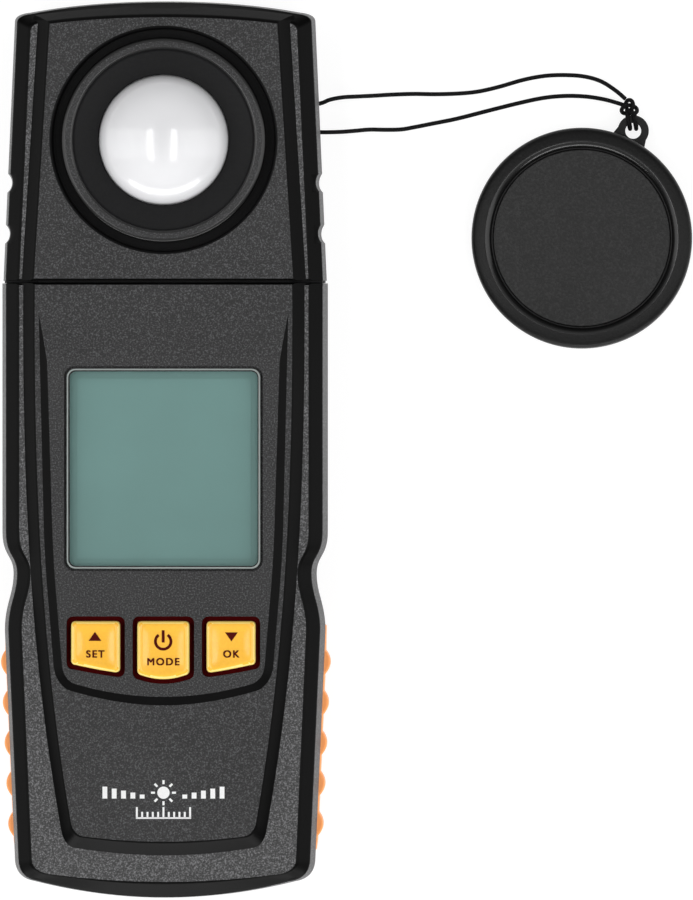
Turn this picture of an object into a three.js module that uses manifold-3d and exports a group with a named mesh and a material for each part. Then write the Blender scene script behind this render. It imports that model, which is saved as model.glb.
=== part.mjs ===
// Handheld light meter: a case with a display and three keys, a sensor head that swivels on
// the end of it, and a lens cap on a thin lanyard that lies beside the meter.
// Millimetres. The meter lies on its back: +Z is out of the display, +Y runs towards the head,
// +X is the lanyard side, and the origin is on the back face, in the middle of the meter.
import * as THREE from "three";
import { mergeVertices } from "three/addons/utils/BufferGeometryUtils.js";
import Module from "manifold-3d";

const wasm = await Module();
wasm.setup();

// ---------- driving dimensions ----------
const LENGTH = 168.7;
const HALF_LENGTH = LENGTH / 2;
const HALF_WIDTH = 30.65; // widest part of the case
const PART_Z = 13; // plane where the front and rear shells meet
const SEAM = 0.15; // each shell stops this far from that plane
const AXIS_Z = PART_Z; // the head swivels about a line along Y at this height
const SHOULDER_Z = 21.2; // lower, outer step of the front
const DECK_Z = 23.5; // raised middle of the front
const PANEL_Z = 24.3; // display and key panel, raised again
const WALL = 1.9;
const FLOOR = 2.4; // thickness of the back wall
const CEILING_Z = 21.7; // underside of the raised middle
const SHOULDER_CEILING_Z = SHOULDER_Z - WALL;
const JOINT_Y = 31.5; // plane between the case and the head
const JOINT_GAP = 0.25; // each side of that plane
const CASE_TOP = JOINT_Y - JOINT_GAP;
const HEAD_BOTTOM = JOINT_Y + JOINT_GAP;
const CURVE_STEPS = 4; // segments in each curve of an outline
const ROUND = 36; // segments round a large circle
const SMALL_ROUND = 12; // segments round a screw or a post
const CLEAR = 0.3; // gap between pieces that touch in the real object

// ---------- colours ----------
const material = (name, color, roughness, metalness = 0, opacity = 1) =>
  new THREE.MeshStandardMaterial({
    name,
    color,
    roughness,
    metalness,
    opacity,
    transparent: opacity < 1,
  });
const CASE = material("case_plastic", 0x2e2e2f, 0.62);
const GRIP = material("grip_rubber", 0xf0833c, 0.6);
const KEY = material("key_rubber", 0xfbb62c, 0.4);
const DOME = material("diffuser", 0xf1f1f1, 0.3);
const COLLAR = material("collar_plastic", 0x262627, 0.4);
const CLEAR_LENS = material("clear_lens", 0xa9c8c2, 0.08, 0, 0.35);
const LCD = material("lcd_glass", 0x6b908a, 0.2);
const LIGHT_GUIDE = material("light_guide", 0xe6efe2, 0.35);
const BOARD = material("circuit_board", 0x1f6b3a, 0.5);
const CHIP = material("chip_plastic", 0x1a1a1c, 0.55);
const SOCKET = material("socket_nylon", 0xe8e2cf, 0.55);
const SILICONE = material("silicone", 0x9aa0a3, 0.6);
const CARBON = material("carbon", 0x151515, 0.85);
const STEEL = material("plated_steel", 0xb9bcc0, 0.3, 1);
const CELL = material("cell_jacket", 0x3f5f9a, 0.35);
const FILTER = material("filter_glass", 0x7fae86, 0.1, 0, 0.6);
const SILICON = material("silicon_cell", 0x23304c, 0.25);
const NYLON = material("nylon", 0x2a2a2c, 0.45);
const CAP = material("cap_rubber", 0x2a2a2b, 0.5);
const CORD = material("lanyard_cord", 0x161616, 0.7);

// ---------- shape helpers ----------
/** A closed three.js geometry as a manifold solid. */
function solid(geometry) {
  const bare = (geometry.index ? geometry.toNonIndexed() : geometry).clone();
  bare.deleteAttribute("normal");
  bare.deleteAttribute("uv");
  const merged = mergeVertices(bare, 1e-4);
  return new wasm.Manifold(
    new wasm.Mesh({
      numProp: 3,
      vertProperties: new Float32Array(merged.attributes.position.array),
      triVerts: new Uint32Array(merged.index.array),
    }),
  );
}

/** A manifold solid as a three.js geometry. */
function geometryOf(manifold) {
  const mesh = manifold.getMesh();
  const geometry = new THREE.BufferGeometry();
  geometry.setAttribute("position", new THREE.BufferAttribute(mesh.vertProperties, 3));
  geometry.setIndex(new THREE.BufferAttribute(mesh.triVerts, 1));
  geometry.computeVertexNormals();
  return geometry;
}

/** A flat outline given a height, from z0 to z1. */
function prism(shape, z0, z1, curveSegments = CURVE_STEPS) {
  return new THREE.ExtrudeGeometry(shape, {
    depth: z1 - z0,
    bevelEnabled: false,
    curveSegments,
  }).translate(0, 0, z0);
}

function box(x0, x1, y0, y1, z0, z1) {
  return new THREE.BoxGeometry(x1 - x0, y1 - y0, z1 - z0).translate(
    (x0 + x1) / 2,
    (y0 + y1) / 2,
    (z0 + z1) / 2,
  );
}

/** A round post along Z. */
function post(x, y, z0, z1, radius, segments = SMALL_ROUND) {
  return new THREE.CylinderGeometry(radius, radius, z1 - z0, segments)
    .rotateX(Math.PI / 2)
    .translate(x, y, (z0 + z1) / 2);
}

/** A profile of [radius, height] points turned about a line along Z through (x, y). */
function turned(profile, x, y, segments = ROUND) {
  const points = profile.map(([r, h]) => new THREE.Vector2(r, h));
  return new THREE.LatheGeometry(points, segments).rotateX(Math.PI / 2).translate(x, y, 0);
}

/** The same about the head's swivel axis: heights run along +Y. */
function turnedOnAxis(profile, segments = ROUND) {
  const points = profile.map(([r, h]) => new THREE.Vector2(r, h));
  return new THREE.LatheGeometry(points, segments).translate(0, 0, AXIS_Z);
}

/** Skins a stack of outlines with equal numbers of points, lowest first, and closes both ends. */
function loft(sections) {
  const rings = sections.map(({ shape, z }) => {
    const points = shape.getPoints(CURVE_STEPS);
    if (points.at(-1).distanceTo(points[0]) < 1e-6) points.pop();
    return points.map((p) => new THREE.Vector3(p.x, p.y, z));
  });
  const count = rings[0].length;
  const index = [];
  for (let level = 0; level < rings.length - 1; level += 1) {
    for (let i = 0; i < count; i += 1) {
      const a = level * count + i;
      const b = level * count + ((i + 1) % count);
      index.push(a, b, b + count, a, b + count, a + count);
    }
  }
  const top = (rings.length - 1) * count;
  for (const [a, b, c] of THREE.ShapeUtils.triangulateShape(rings[0], [])) index.push(a, c, b);
  for (const [a, b, c] of THREE.ShapeUtils.triangulateShape(rings.at(-1), []))
    index.push(top + a, top + b, top + c);
  const geometry = new THREE.BufferGeometry();
  geometry.setAttribute(
    "position",
    new THREE.Float32BufferAttribute(rings.flat().flatMap((p) => [p.x, p.y, p.z]), 3),
  );
  geometry.setIndex(index);
  return geometry;
}

const cut = (base, ...tools) => tools.reduce((s, t) => s.subtract(solid(t)), base);
const join = (base, ...more) => more.reduce((s, m) => s.add(solid(m)), base);

function rectangle(x0, x1, y0, y1, radius) {
  const s = new THREE.Shape();
  s.moveTo(x0 + radius, y0);
  s.lineTo(x1 - radius, y0);
  s.absarc(x1 - radius, y0 + radius, radius, -Math.PI / 2, 0);
  s.lineTo(x1, y1 - radius);
  s.absarc(x1 - radius, y1 - radius, radius, 0, Math.PI / 2);
  s.lineTo(x0 + radius, y1);
  s.absarc(x0 + radius, y1 - radius, radius, Math.PI / 2, Math.PI);
  s.lineTo(x0, y0 + radius);
  s.absarc(x0 + radius, y0 + radius, radius, Math.PI, 1.5 * Math.PI);
  return s;
}

// ---------- outlines of the case ----------
const WAIST_START_Y = -15.5;
const WAIST_Y = -23.3;
const HIP_Y = -34;
const FOOT_Y = -77;
const WAIST_DEPTH = 2.1; // how far the waist pulls in from the sides
const HIP_DEPTH = 0.45;
const FOOT_DEPTH = 2.35;
const TOE_X = 24.6; // where the bottom corner runs into the bottom arc
const TOE_RISE = 3.1; // height of that point above the lowest point

/** Outline of the case, pulled in from the sides, the bottom and the top. */
function caseOutline(side, bottom = side, top = 0, rise = TOE_RISE) {
  const wide = HALF_WIDTH - side;
  const waist = wide - WAIST_DEPTH;
  const hip = wide - HIP_DEPTH;
  const foot = wide - FOOT_DEPTH;
  const low = -HALF_LENGTH + bottom;
  const toe = TOE_X - 0.8 * side;
  const high = CASE_TOP - top;
  const s = new THREE.Shape();
  s.moveTo(wide, high);
  s.lineTo(-wide, high);
  s.lineTo(-wide, WAIST_START_Y);
  s.bezierCurveTo(-wide, WAIST_START_Y - 4.6, -waist, WAIST_Y + 3.4, -waist, WAIST_Y);
  s.bezierCurveTo(-waist, WAIST_Y - 4, -hip, HIP_Y + 5, -hip, HIP_Y);
  s.lineTo(-foot, FOOT_Y);
  s.quadraticCurveTo(-foot + 0.1, low + rise + 0.6, -toe, low + rise);
  s.quadraticCurveTo(-toe / 2, low, 0, low);
  s.quadraticCurveTo(toe / 2, low, toe, low + rise);
  s.quadraticCurveTo(foot - 0.1, low + rise + 0.6, foot, FOOT_Y);
  s.lineTo(hip, HIP_Y);
  s.bezierCurveTo(hip, HIP_Y + 5, waist, WAIST_Y - 4, waist, WAIST_Y);
  s.bezierCurveTo(waist, WAIST_Y + 3.4, wide, WAIST_START_Y - 4.6, wide, WAIST_START_Y);
  return s;
}

/** Outline of the raised middle of the case. Grow widens it by that much all round. */
function deckOutline(grow, top = CASE_TOP) {
  const s = new THREE.Shape();
  const heelX = 17.35 + 0.9 * grow;
  const heelY = -70.1 - 0.35 * grow;
  const toeX = 15.1 + 0.8 * grow;
  const toeY = -72.6 - 0.95 * grow;
  const low = -73.6 - 1.15 * grow;
  s.moveTo(24.15 + grow, top);
  s.lineTo(-24.15 - grow, top);
  s.bezierCurveTo(-24.4 - grow, -10, -22.4 - grow, -41, -heelX, heelY);
  s.quadraticCurveTo(-heelX + 0.5, toeY + 0.35, -toeX, toeY);
  s.quadraticCurveTo(-toeX / 2, low, 0, low);
  s.quadraticCurveTo(toeX / 2, low, toeX, toeY);
  s.quadraticCurveTo(heelX - 0.5, toeY + 0.35, heelX, heelY);
  s.bezierCurveTo(22.4 + grow, -41, 24.4 + grow, -10, 24.15 + grow, top);
  return s;
}

/** Outline of the display and key panel. Grow widens it, rise moves its upper end up. */
function panelOutline(grow, rise) {
  const s = new THREE.Shape();
  s.moveTo(21.6 + grow, 15 + rise);
  s.lineTo(-21.6 - grow, 15 + rise);
  s.lineTo(-20.2 - grow, WAIST_Y);
  s.lineTo(-18.5 - grow, -42.2);
  s.quadraticCurveTo(-9.5, -46.5 - grow, 0, -46.5 - grow);
  s.quadraticCurveTo(9.5, -46.5 - grow, 18.5 + grow, -42.2);
  s.lineTo(20.2 + grow, WAIST_Y);
  return s;
}

// ---------- outlines of the head ----------
const HEAD_CORNER_Y = 80.6;
const HEAD_HALF_BOTTOM = 30.45;
const HEAD_HALF_TOP = 28.3;

/** Outline of the head, pulled in from the sides, the far end and the joint. */
function headOutline(side, end = side, joint = 0) {
  const low = HEAD_HALF_BOTTOM - side;
  const high = HEAD_HALF_TOP - side;
  const top = HALF_LENGTH - end;
  const s = new THREE.Shape();
  s.moveTo(-low, HEAD_BOTTOM + joint);
  s.lineTo(low, HEAD_BOTTOM + joint);
  s.lineTo(high, HEAD_CORNER_Y - end);
  s.quadraticCurveTo(high - 0.1, top - 2.4, high - 2.9, top - 2.1);
  s.quadraticCurveTo(high / 2, top, 0, top);
  s.quadraticCurveTo(-high / 2, top, -high + 2.9, top - 2.1);
  s.quadraticCurveTo(-high + 0.1, top - 2.4, -high, HEAD_CORNER_Y - end);
  return s;
}

/** Outline of the raised middle of the head. */
function headDeckOutline(grow, end = 0, joint = 0) {
  const low = 24.35 + grow;
  const high = 21.35 + grow;
  const top = 81 + end;
  const s = new THREE.Shape();
  s.moveTo(-low, HEAD_BOTTOM + joint);
  s.lineTo(low, HEAD_BOTTOM + joint);
  s.lineTo(high, top - 2.8);
  s.quadraticCurveTo(high - 0.1, top - 1.4, high - 1.4, top - 1.2);
  s.quadraticCurveTo(high / 2, top, 0, top);
  s.quadraticCurveTo(-high / 2, top, -high + 1.4, top - 1.2);
  s.quadraticCurveTo(-high + 0.1, top - 1.4, -high, top - 2.8);
  return s;
}

// ---------- places of screws ----------
const CASE_SCREWS = [
  [-22.3, 24.3],
  [22.3, 24.3],
  [-22.2, -73.4],
  [22.2, -73.4],
];
const HEAD_SCREWS = [
  [-23, 38.8],
  [23, 38.8],
  [-22.4, 75.6],
  [22.4, 75.6],
];
const BOARD_SCREWS = [
  [-20.6, 15],
  [20.6, 15],
];
const SCREW_R = 1.1;
const SCREW_HEAD_R = 2.2;
const SCREW_SEAT_Z = 4.2; // the screw heads sit below this level, sunk in the back

// ---------- swivel ----------
const HUB_R = 5.4;
const HUB_HOLE_R = 5.75;
const HUB_BORE_R = 3.2;
const STOP_R = 8.6; // radius of the stop peg's path
const STOP_PEG_R = 0.7;
const STOP_SLACK = THREE.MathUtils.degToRad(6.7);
const STOP_REST = Math.PI / 4; // where the peg stands at rest, from +X towards +Z
const SWIVEL_UP = Math.PI; // swing of the head over the front, and the other way
const SWIVEL_DOWN = Math.PI / 2;
const STOP_DEPTH = 1.1;

/** Arc-shaped track in the end of the case that the stop peg runs in. */
function stopTrack() {
  const from = STOP_REST - SWIVEL_DOWN - STOP_SLACK;
  const to = STOP_REST + SWIVEL_UP + STOP_SLACK;
  const s = new THREE.Shape();
  s.absarc(0, 0, STOP_R + 0.9, from, to, false);
  s.absarc(0, 0, STOP_R - 0.9, to, from, true);
  return new THREE.ExtrudeGeometry(s, { depth: 4, bevelEnabled: false, curveSegments: 20 })
    .rotateX(Math.PI / 2)
    .translate(0, CASE_TOP - STOP_DEPTH + 4, AXIS_Z);
}

const hubHole = () =>
  turnedOnAxis([
    [0, CASE_TOP - 4],
    [HUB_HOLE_R, CASE_TOP - 4],
    [HUB_HOLE_R, HEAD_BOTTOM + 4],
    [0, HEAD_BOTTOM + 4],
  ]);

// ---------- keys ----------
const KEY_TOP_Y = -32.2;
const KEY_TRAVEL = 0.8;
const KEY_TOP_Z = 25.2;
const KEY_GAP = 0.75;

/** Outline of a key: a rounded box whose lower edge runs from y0 at x0 to y1 at x1. */
function keyOutline(x0, x1, y0, y1, sag, grow) {
  const r = 0.8;
  const left = x0 - grow;
  const right = x1 + grow;
  const top = KEY_TOP_Y + grow;
  const a = y0 - grow;
  const b = y1 - grow;
  const s = new THREE.Shape();
  s.moveTo(left, a + r);
  s.quadraticCurveTo(left, a, left + r, a - sag * 0.2);
  s.quadraticCurveTo((left + right) / 2, (a + b) / 2 - sag * 1.8, right - r, b - sag * 0.2);
  s.quadraticCurveTo(right, b, right, b + r);
  s.lineTo(right, top - r);
  s.quadraticCurveTo(right, top, right - r, top);
  s.lineTo(left + r, top);
  s.quadraticCurveTo(left, top, left, top - r);
  return s;
}
const KEYS = {
  set_key: { x0: -17.3, x1: -8.1, y0: -40.4, y1: -41.8, sag: 0.1 },
  power_key: { x0: -4.9, x1: 4.9, y0: -42.2, y1: -42.2, sag: 0.9 },
  enter_key: { x0: 8.1, x1: 17.3, y0: -41.8, y1: -40.4, sag: 0.1 },
};
const keyShape = (k, grow) => keyOutline(k.x0, k.x1, k.y0, k.y1, k.sag, grow);
const keyCentre = (k) => [(k.x0 + k.x1) / 2, (KEY_TOP_Y + (k.y0 + k.y1) / 2) / 2];

// ---------- display ----------
const LENS_HALF_X = 18.15;
const LENS_Y0 = -22.35;
const LENS_Y1 = 15.15;
const LENS_Z0 = 22.7;
const LENS_Z1 = 24.1;
const LENS_GAP = 0.35;
const WINDOW_INSET = 1.5; // width of the ledge that the lens rests on

/** Outline of the display lens, grown or shrunk. */
const lensOutline = (grow, corner) =>
  rectangle(-LENS_HALF_X - grow, LENS_HALF_X + grow, LENS_Y0 - grow, LENS_Y1 + grow, corner);

// ---------- batteries ----------
const CELL_R = 5.25;
const CELL_LENGTH = 44.5;
const CELL_PITCH = 11.1;
const CELL_Z = 8.3;
const CELL_Y0 = -77.4;
const SPRING_HEIGHT = 0.6; // squeezed between the cell and the end wall
const WELL_X = 17.3;
const WELL_Y0 = -78.8;
const WELL_Y1 = -28.6;
const WELL_TOP_Z = 13.85;
const WELL_WALL = 0.85;
const DOOR_HALF_X = 17.7;
const DOOR_Y1 = -26.4;
const DOOR_Z = 1.9;
const DOOR_TONGUE = 1.1;

// ---------- the case ----------
const rearSections = (outline) => [
  { shape: outline(3.6, 3.2), z: 0 },
  { shape: outline(2.1, 1.9), z: 0.8 },
  { shape: outline(1.1, 0.9), z: 3 },
  { shape: outline(0.1, 0.1), z: PART_Z - SEAM },
];

/** The space that the battery door fills in the back wall, grown by a gap. */
function doorSpace(gap) {
  const side = DOOR_HALF_X + gap;
  const end = -HALF_LENGTH - 1;
  const tongue = side + DOOR_TONGUE;
  return join(
    solid(box(-side, side, end, DOOR_Y1 + gap, -1, DOOR_Z + gap)),
    box(-tongue, tongue, end, DOOR_Y1 - 3 + gap, 0.95 - gap / 2, 1.45 + gap / 2),
  );
}

const GRIP_TOP_Y = -33;
const GRIP_BOTTOM_Y = -75.6;
const GRIP_Z0 = 3.2;
const GRIP_Z1 = 11.6;
const GRIP_DEPTH = 1.1;
const RIDGE_COUNT = 5;
const RIDGE_PITCH = 7.62;
const FIRST_RIDGE_Y = -40.1;
const RIDGE_HALF = 2.3;
const RIDGE_HEIGHT = 0.85;
const sideX = (y) => HALF_WIDTH - HIP_DEPTH - ((HIP_Y - y) * (FOOT_DEPTH - HIP_DEPTH)) / (HIP_Y - FOOT_Y);

/** Plan outline of the right-hand grip; gap widens it for the pocket it sits in. */
function gripOutline(gap, ridged) {
  const top = GRIP_TOP_Y + gap;
  const bottom = GRIP_BOTTOM_Y - gap;
  const s = new THREE.Shape();
  s.moveTo(sideX(bottom) - GRIP_DEPTH - gap, bottom);
  s.lineTo(sideX(bottom) + (ridged ? 0 : 3), bottom);
  if (ridged) {
    for (let i = RIDGE_COUNT - 1; i >= 0; i -= 1) {
      const y = FIRST_RIDGE_Y - i * RIDGE_PITCH;
      s.lineTo(sideX(y - RIDGE_HALF), y - RIDGE_HALF);
      s.quadraticCurveTo(sideX(y) + 2 * RIDGE_HEIGHT, y, sideX(y + RIDGE_HALF), y + RIDGE_HALF);
    }
  }
  s.lineTo(sideX(top) + (ridged ? 0 : 3), top);
  s.lineTo(sideX(top) - GRIP_DEPTH - gap, top);
  return s;
}
/** The same solid on the other side of the meter. */
const mirroredSolid = (geometry) => solid(geometry).mirror([1, 0, 0]);

function bodyRearShell() {
  let shell = solid(loft(rearSections((side, end) => caseOutline(side, end))));
  const cavity = loft([
    { shape: caseOutline(4.4, 4.2, WALL), z: FLOOR },
    { shape: caseOutline(3.1, 2.8, WALL), z: 4.2 },
    { shape: caseOutline(2.1, 2.1, WALL), z: PART_Z + 1 },
  ]);
  shell = cut(shell, cavity);
  const well = box(
    -WELL_X - WELL_WALL, WELL_X + WELL_WALL, WELL_Y0 - WELL_WALL, WELL_Y1 + WELL_WALL,
    FLOOR - 0.5, WELL_TOP_Z + WELL_WALL,
  );
  const posts = CASE_SCREWS.map(([x, y]) => post(x, y, FLOOR - 0.5, PART_Z - SEAM, 3.4));
  shell = join(shell, well, ...posts);
  shell = cut(
    shell,
    box(-WELL_X, WELL_X, WELL_Y0, WELL_Y1, -1, WELL_TOP_Z),
    ...CASE_SCREWS.flatMap(([x, y]) => [
      post(x, y, -1, PART_Z + 1, SCREW_R + CLEAR),
      post(x, y, -1, SCREW_SEAT_Z, SCREW_HEAD_R + 0.4),
    ]),
    hubHole(),
    stopTrack(),
  );
  shell = shell.subtract(doorSpace(0.25));
  const pocket = prism(gripOutline(0.2, false), GRIP_Z0 - 0.2, GRIP_Z1 + 0.2);
  return shell.subtract(solid(pocket)).subtract(mirroredSolid(pocket));
}

function bodyFrontShell() {
  let shell = solid(
    loft([
      { shape: caseOutline(0, 0), z: PART_Z + SEAM },
      { shape: caseOutline(0.7, 0.5), z: 18.2 },
      { shape: caseOutline(3.5, 3.15, 0, 1), z: SHOULDER_Z },
    ]),
  );
  shell = join(
    shell,
    loft([
      { shape: deckOutline(3.1), z: 20.4 },
      { shape: deckOutline(0), z: DECK_Z },
    ]),
    loft([
      { shape: panelOutline(1.9, 12), z: DECK_Z - 0.2 },
      { shape: panelOutline(0, 0), z: PANEL_Z },
    ]),
  );
  shell = cut(
    shell,
    loft([
      { shape: caseOutline(WALL, WALL, WALL), z: PART_Z - 1 },
      { shape: caseOutline(2.6, 2.4, WALL), z: 16.2 },
      { shape: caseOutline(4.8, 4.2, WALL), z: SHOULDER_CEILING_Z },
    ]),
    loft([
      { shape: deckOutline(0.4, CASE_TOP - WALL), z: SHOULDER_CEILING_Z - 1 },
      { shape: deckOutline(-1.7, CASE_TOP - WALL), z: CEILING_Z },
    ]),
  );
  shell = join(
    shell,
    ...CASE_SCREWS.map(([x, y]) => post(x, y, PART_Z + SEAM, SHOULDER_CEILING_Z + 0.5, 2.9)),
    ...BOARD_SCREWS.map(([x, y]) => post(x, y, 16.9, CEILING_Z + 0.5, 2.2)),
  );
  const keys = Object.values(KEYS);
  return cut(
    shell,
    ...CASE_SCREWS.map(([x, y]) => post(x, y, PART_Z - 1, 18, SCREW_R + CLEAR)),
    ...BOARD_SCREWS.map(([x, y]) => post(x, y, PART_Z - 1, 20.4, SCREW_R + CLEAR)),
    prism(lensOutline(LENS_GAP, 1.8), LENS_Z0 - 0.2, PANEL_Z + 2, 3),
    prism(lensOutline(-WINDOW_INSET, 0.8), 15, PANEL_Z + 2, 2),
    ...keys.map((k) => prism(keyShape(k, KEY_GAP), CEILING_Z - 1, PANEL_Z + 2, 3)),
    hubHole(),
    stopTrack(),
  );
}

function batteryDoor() {
  const outer = solid(
    loft(rearSections((side, end) => caseOutline(side, end))),
  );
  const ridges = [0, 1, 2, 3].map((i) => box(-6, 6, -37.2 + i * 1.8, -36.4 + i * 1.8, -1, 0.35));
  return cut(doorSpace(0).intersect(outer), ...ridges);
}

// ---------- the head ----------
const SENSOR_Y = 58.1;
const GROOVE_R = 21.05;
const COLLAR_R = 19.2;
const COLLAR_Z = 24;
const GROOVE_FLOOR_Z = 19.9;
const DOME_R = 12.15;
const DOME_TOP_Z = 29.7;
const DOME_BASE_Z = 22;
const NOTCH_YS = [50.2, 40.6];
const NOTCH_R = 2.3;
const NOTCH_DEPTH = 0.9;
const EYELET_YS = [65.2, 59.8]; // the two lanyard holes in the side of the head
const EYELET_Z = 9;
const EYELET_R = 0.85;
const EYELET_X = 29.6; // outer face of the side wall there

const headHalfWidth = (y) =>
  HEAD_HALF_BOTTOM +
  ((HEAD_HALF_TOP - HEAD_HALF_BOTTOM) * (y - HEAD_BOTTOM)) / (HEAD_CORNER_Y - HEAD_BOTTOM);

const notches = () =>
  NOTCH_YS.flatMap((y) =>
    [-1, 1].map((side) =>
      post(side * (headHalfWidth(y) + NOTCH_R - NOTCH_DEPTH), y, -1, 18.4, NOTCH_R),
    ),
  );

function headRearShell() {
  let shell = solid(loft(rearSections((side, end) => headOutline(side, end))));
  shell = cut(
    shell,
    loft([
      { shape: headOutline(4.4, 4.2, WALL), z: FLOOR },
      { shape: headOutline(3.1, 2.9, WALL), z: 4.2 },
      { shape: headOutline(2.1, 2.1, WALL), z: PART_Z + 1 },
    ]),
  );
  shell = join(
    shell,
    ...HEAD_SCREWS.map(([x, y]) => post(x, y, FLOOR - 0.5, PART_Z - SEAM, 3.2)),
    ...[90, 210, 330].map((degrees) => {
      const a = THREE.MathUtils.degToRad(degrees);
      return post(12 * Math.cos(a), SENSOR_Y + 12 * Math.sin(a), FLOOR - 0.5, 11.7, 2.2, 10);
    }),
    box(-9.3, -7.8, HEAD_BOTTOM + WALL - 0.4, 36.3, FLOOR - 0.5, PART_Z - SEAM),
    box(7.8, 9.3, HEAD_BOTTOM + WALL - 0.4, 36.3, FLOOR - 0.5, PART_Z - SEAM),
  );
  return cut(
    shell,
    ...HEAD_SCREWS.flatMap(([x, y]) => [
      post(x, y, -1, PART_Z + 1, SCREW_R + CLEAR),
      post(x, y, -1, SCREW_SEAT_Z, SCREW_HEAD_R + 0.4),
    ]),
    ...EYELET_YS.map((y) => {
      const hole = new THREE.CylinderGeometry(EYELET_R, EYELET_R, 8, 12).rotateZ(Math.PI / 2);
      return hole.translate(EYELET_X, y, EYELET_Z);
    }),
    hubHole(),
    ...notches(),
  );
}

function headFrontShell() {
  let shell = solid(
    loft([
      { shape: headOutline(0, 0), z: PART_Z + SEAM },
      { shape: headOutline(0.5, 0.4), z: 18.2 },
      { shape: headOutline(3.25, 1.9), z: SHOULDER_Z },
    ]),
  );
  shell = join(
    shell,
    loft([
      { shape: headDeckOutline(4.6, 2.6), z: 18.9 },
      { shape: headDeckOutline(0), z: DECK_Z },
    ]),
  );
  shell = cut(
    shell,
    loft([
      { shape: headOutline(WALL, WALL, WALL), z: PART_Z - 1 },
      { shape: headOutline(2.6, 2.4, WALL), z: 16 },
      { shape: headOutline(4.8, 4.6, WALL), z: 18 },
    ]),
    loft([
      { shape: headDeckOutline(1.2, -1, WALL), z: 16.8 },
      { shape: headDeckOutline(-1.6, -2.2, WALL), z: CEILING_Z },
    ]),
  );
  shell = join(
    shell,
    turned(
      [
        [0, 18.1],
        [GROOVE_R + 1.4, 18.1],
        [GROOVE_R + 1.4, DECK_Z - 0.4],
        [0, DECK_Z - 0.4],
      ],
      0, SENSOR_Y,
    ),
    ...HEAD_SCREWS.map(([x, y]) => post(x, y, PART_Z + SEAM, 18.6, 2.8)),
    new THREE.CylinderGeometry(STOP_PEG_R, STOP_PEG_R, 1.9, 10).translate(
      STOP_R * Math.cos(STOP_REST), HEAD_BOTTOM - 0.5, AXIS_Z + STOP_R * Math.sin(STOP_REST),
    ),
  );
  return cut(
    shell,
    turned(
      [
        [0, GROOVE_FLOOR_Z],
        [GROOVE_R, GROOVE_FLOOR_Z],
        [GROOVE_R, DECK_Z + 3],
        [0, DECK_Z + 3],
      ],
      0, SENSOR_Y,
    ),
    post(0, SENSOR_Y, 15, DECK_Z, 14.9, ROUND),
    ...HEAD_SCREWS.map(([x, y]) => post(x, y, PART_Z - 1, 17.6, SCREW_R + CLEAR)),
    hubHole(),
    ...notches(),
  );
}

/** Raised ring round the dome: flat rim, then a step down to a nearly flat floor. */
const sensorCollar = () =>
  turned(
    [
      [12.5, 21.9],
      [15, 21.9],
      [15, 20.2],
      [COLLAR_R, 20.2],
      [COLLAR_R, COLLAR_Z - 0.2],
      [COLLAR_R - 0.2, COLLAR_Z],
      [17.1, COLLAR_Z],
      [16.7, 22.9],
      [12.5, 22.6],
      [12.5, 21.9],
    ],
    0, SENSOR_Y,
  );

function diffuserDome() {
  const arc = (r, base, top, steps) => {
    const points = [[0, top]];
    for (let i = 1; i <= steps; i += 1) {
      const a = (Math.PI * i) / (2 * steps);
      points.push([r * Math.sin(a), base + (top - base) * Math.cos(a)]);
    }
    return points;
  };
  const inside = arc(DOME_R - 1.2, 20.4, DOME_TOP_Z - 1.2, 4);
  const outside = arc(DOME_R, DOME_BASE_Z, DOME_TOP_Z, 6).reverse();
  const flange = [
    [14.5, 20.4],
    [14.5, 21.5],
    [DOME_R, 21.5],
  ];
  return turned([...inside, ...flange, ...outside], 0, SENSOR_Y, 32);
}

const sensorHolder = () =>
  turned(
    [
      [6, 13.9],
      [9, 13.9],
      [9, 17.6],
      [14.5, 17.6],
      [14.5, 20.1],
      [6, 20.1],
      [6, 13.9],
    ],
    0, SENSOR_Y, 24,
  );

function swivelHub() {
  const flange = new THREE.ExtrudeGeometry(rectangle(-7.4, 7.4, -7.4, 4.8, 0.6), {
    depth: 2, bevelEnabled: false, curveSegments: 2,
  })
    .rotateX(Math.PI / 2)
    .translate(0, 36, AXIS_Z);
  const shaft = turnedOnAxis(
    [
      [0, 26.6],
      [HUB_R, 26.6],
      [HUB_R, 27.2],
      [4.6, 27.2],
      [4.6, 28.9],
      [HUB_R, 28.9],
      [HUB_R, 35],
      [0, 35],
    ],
    28,
  );
  const bore = turnedOnAxis(
    [
      [0, 20],
      [HUB_BORE_R, 20],
      [HUB_BORE_R, 40],
      [0, 40],
    ],
    20,
  );
  return cut(solid(shaft).add(solid(flange)), bore);
}

/** Flat ring about the swivel axis, from inner to outer radius; open leaves a mouth in it. */
function axisRing(inner, outer, y0, y1, open = 0) {
  const s = new THREE.Shape();
  if (open) {
    s.absarc(0, 0, outer, Math.PI / 2 + open, 2.5 * Math.PI - open, false);
    s.absarc(0, 0, inner, 2.5 * Math.PI - open, Math.PI / 2 + open, true);
  } else {
    s.absarc(0, 0, outer, 0, 2 * Math.PI, false);
    s.holes.push(new THREE.Path().absarc(0, 0, inner, 0, 2 * Math.PI, true));
  }
  return new THREE.ExtrudeGeometry(s, { depth: y1 - y0, bevelEnabled: false, curveSegments: 12 })
    .rotateX(Math.PI / 2)
    .translate(0, y1, AXIS_Z);
}

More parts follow.
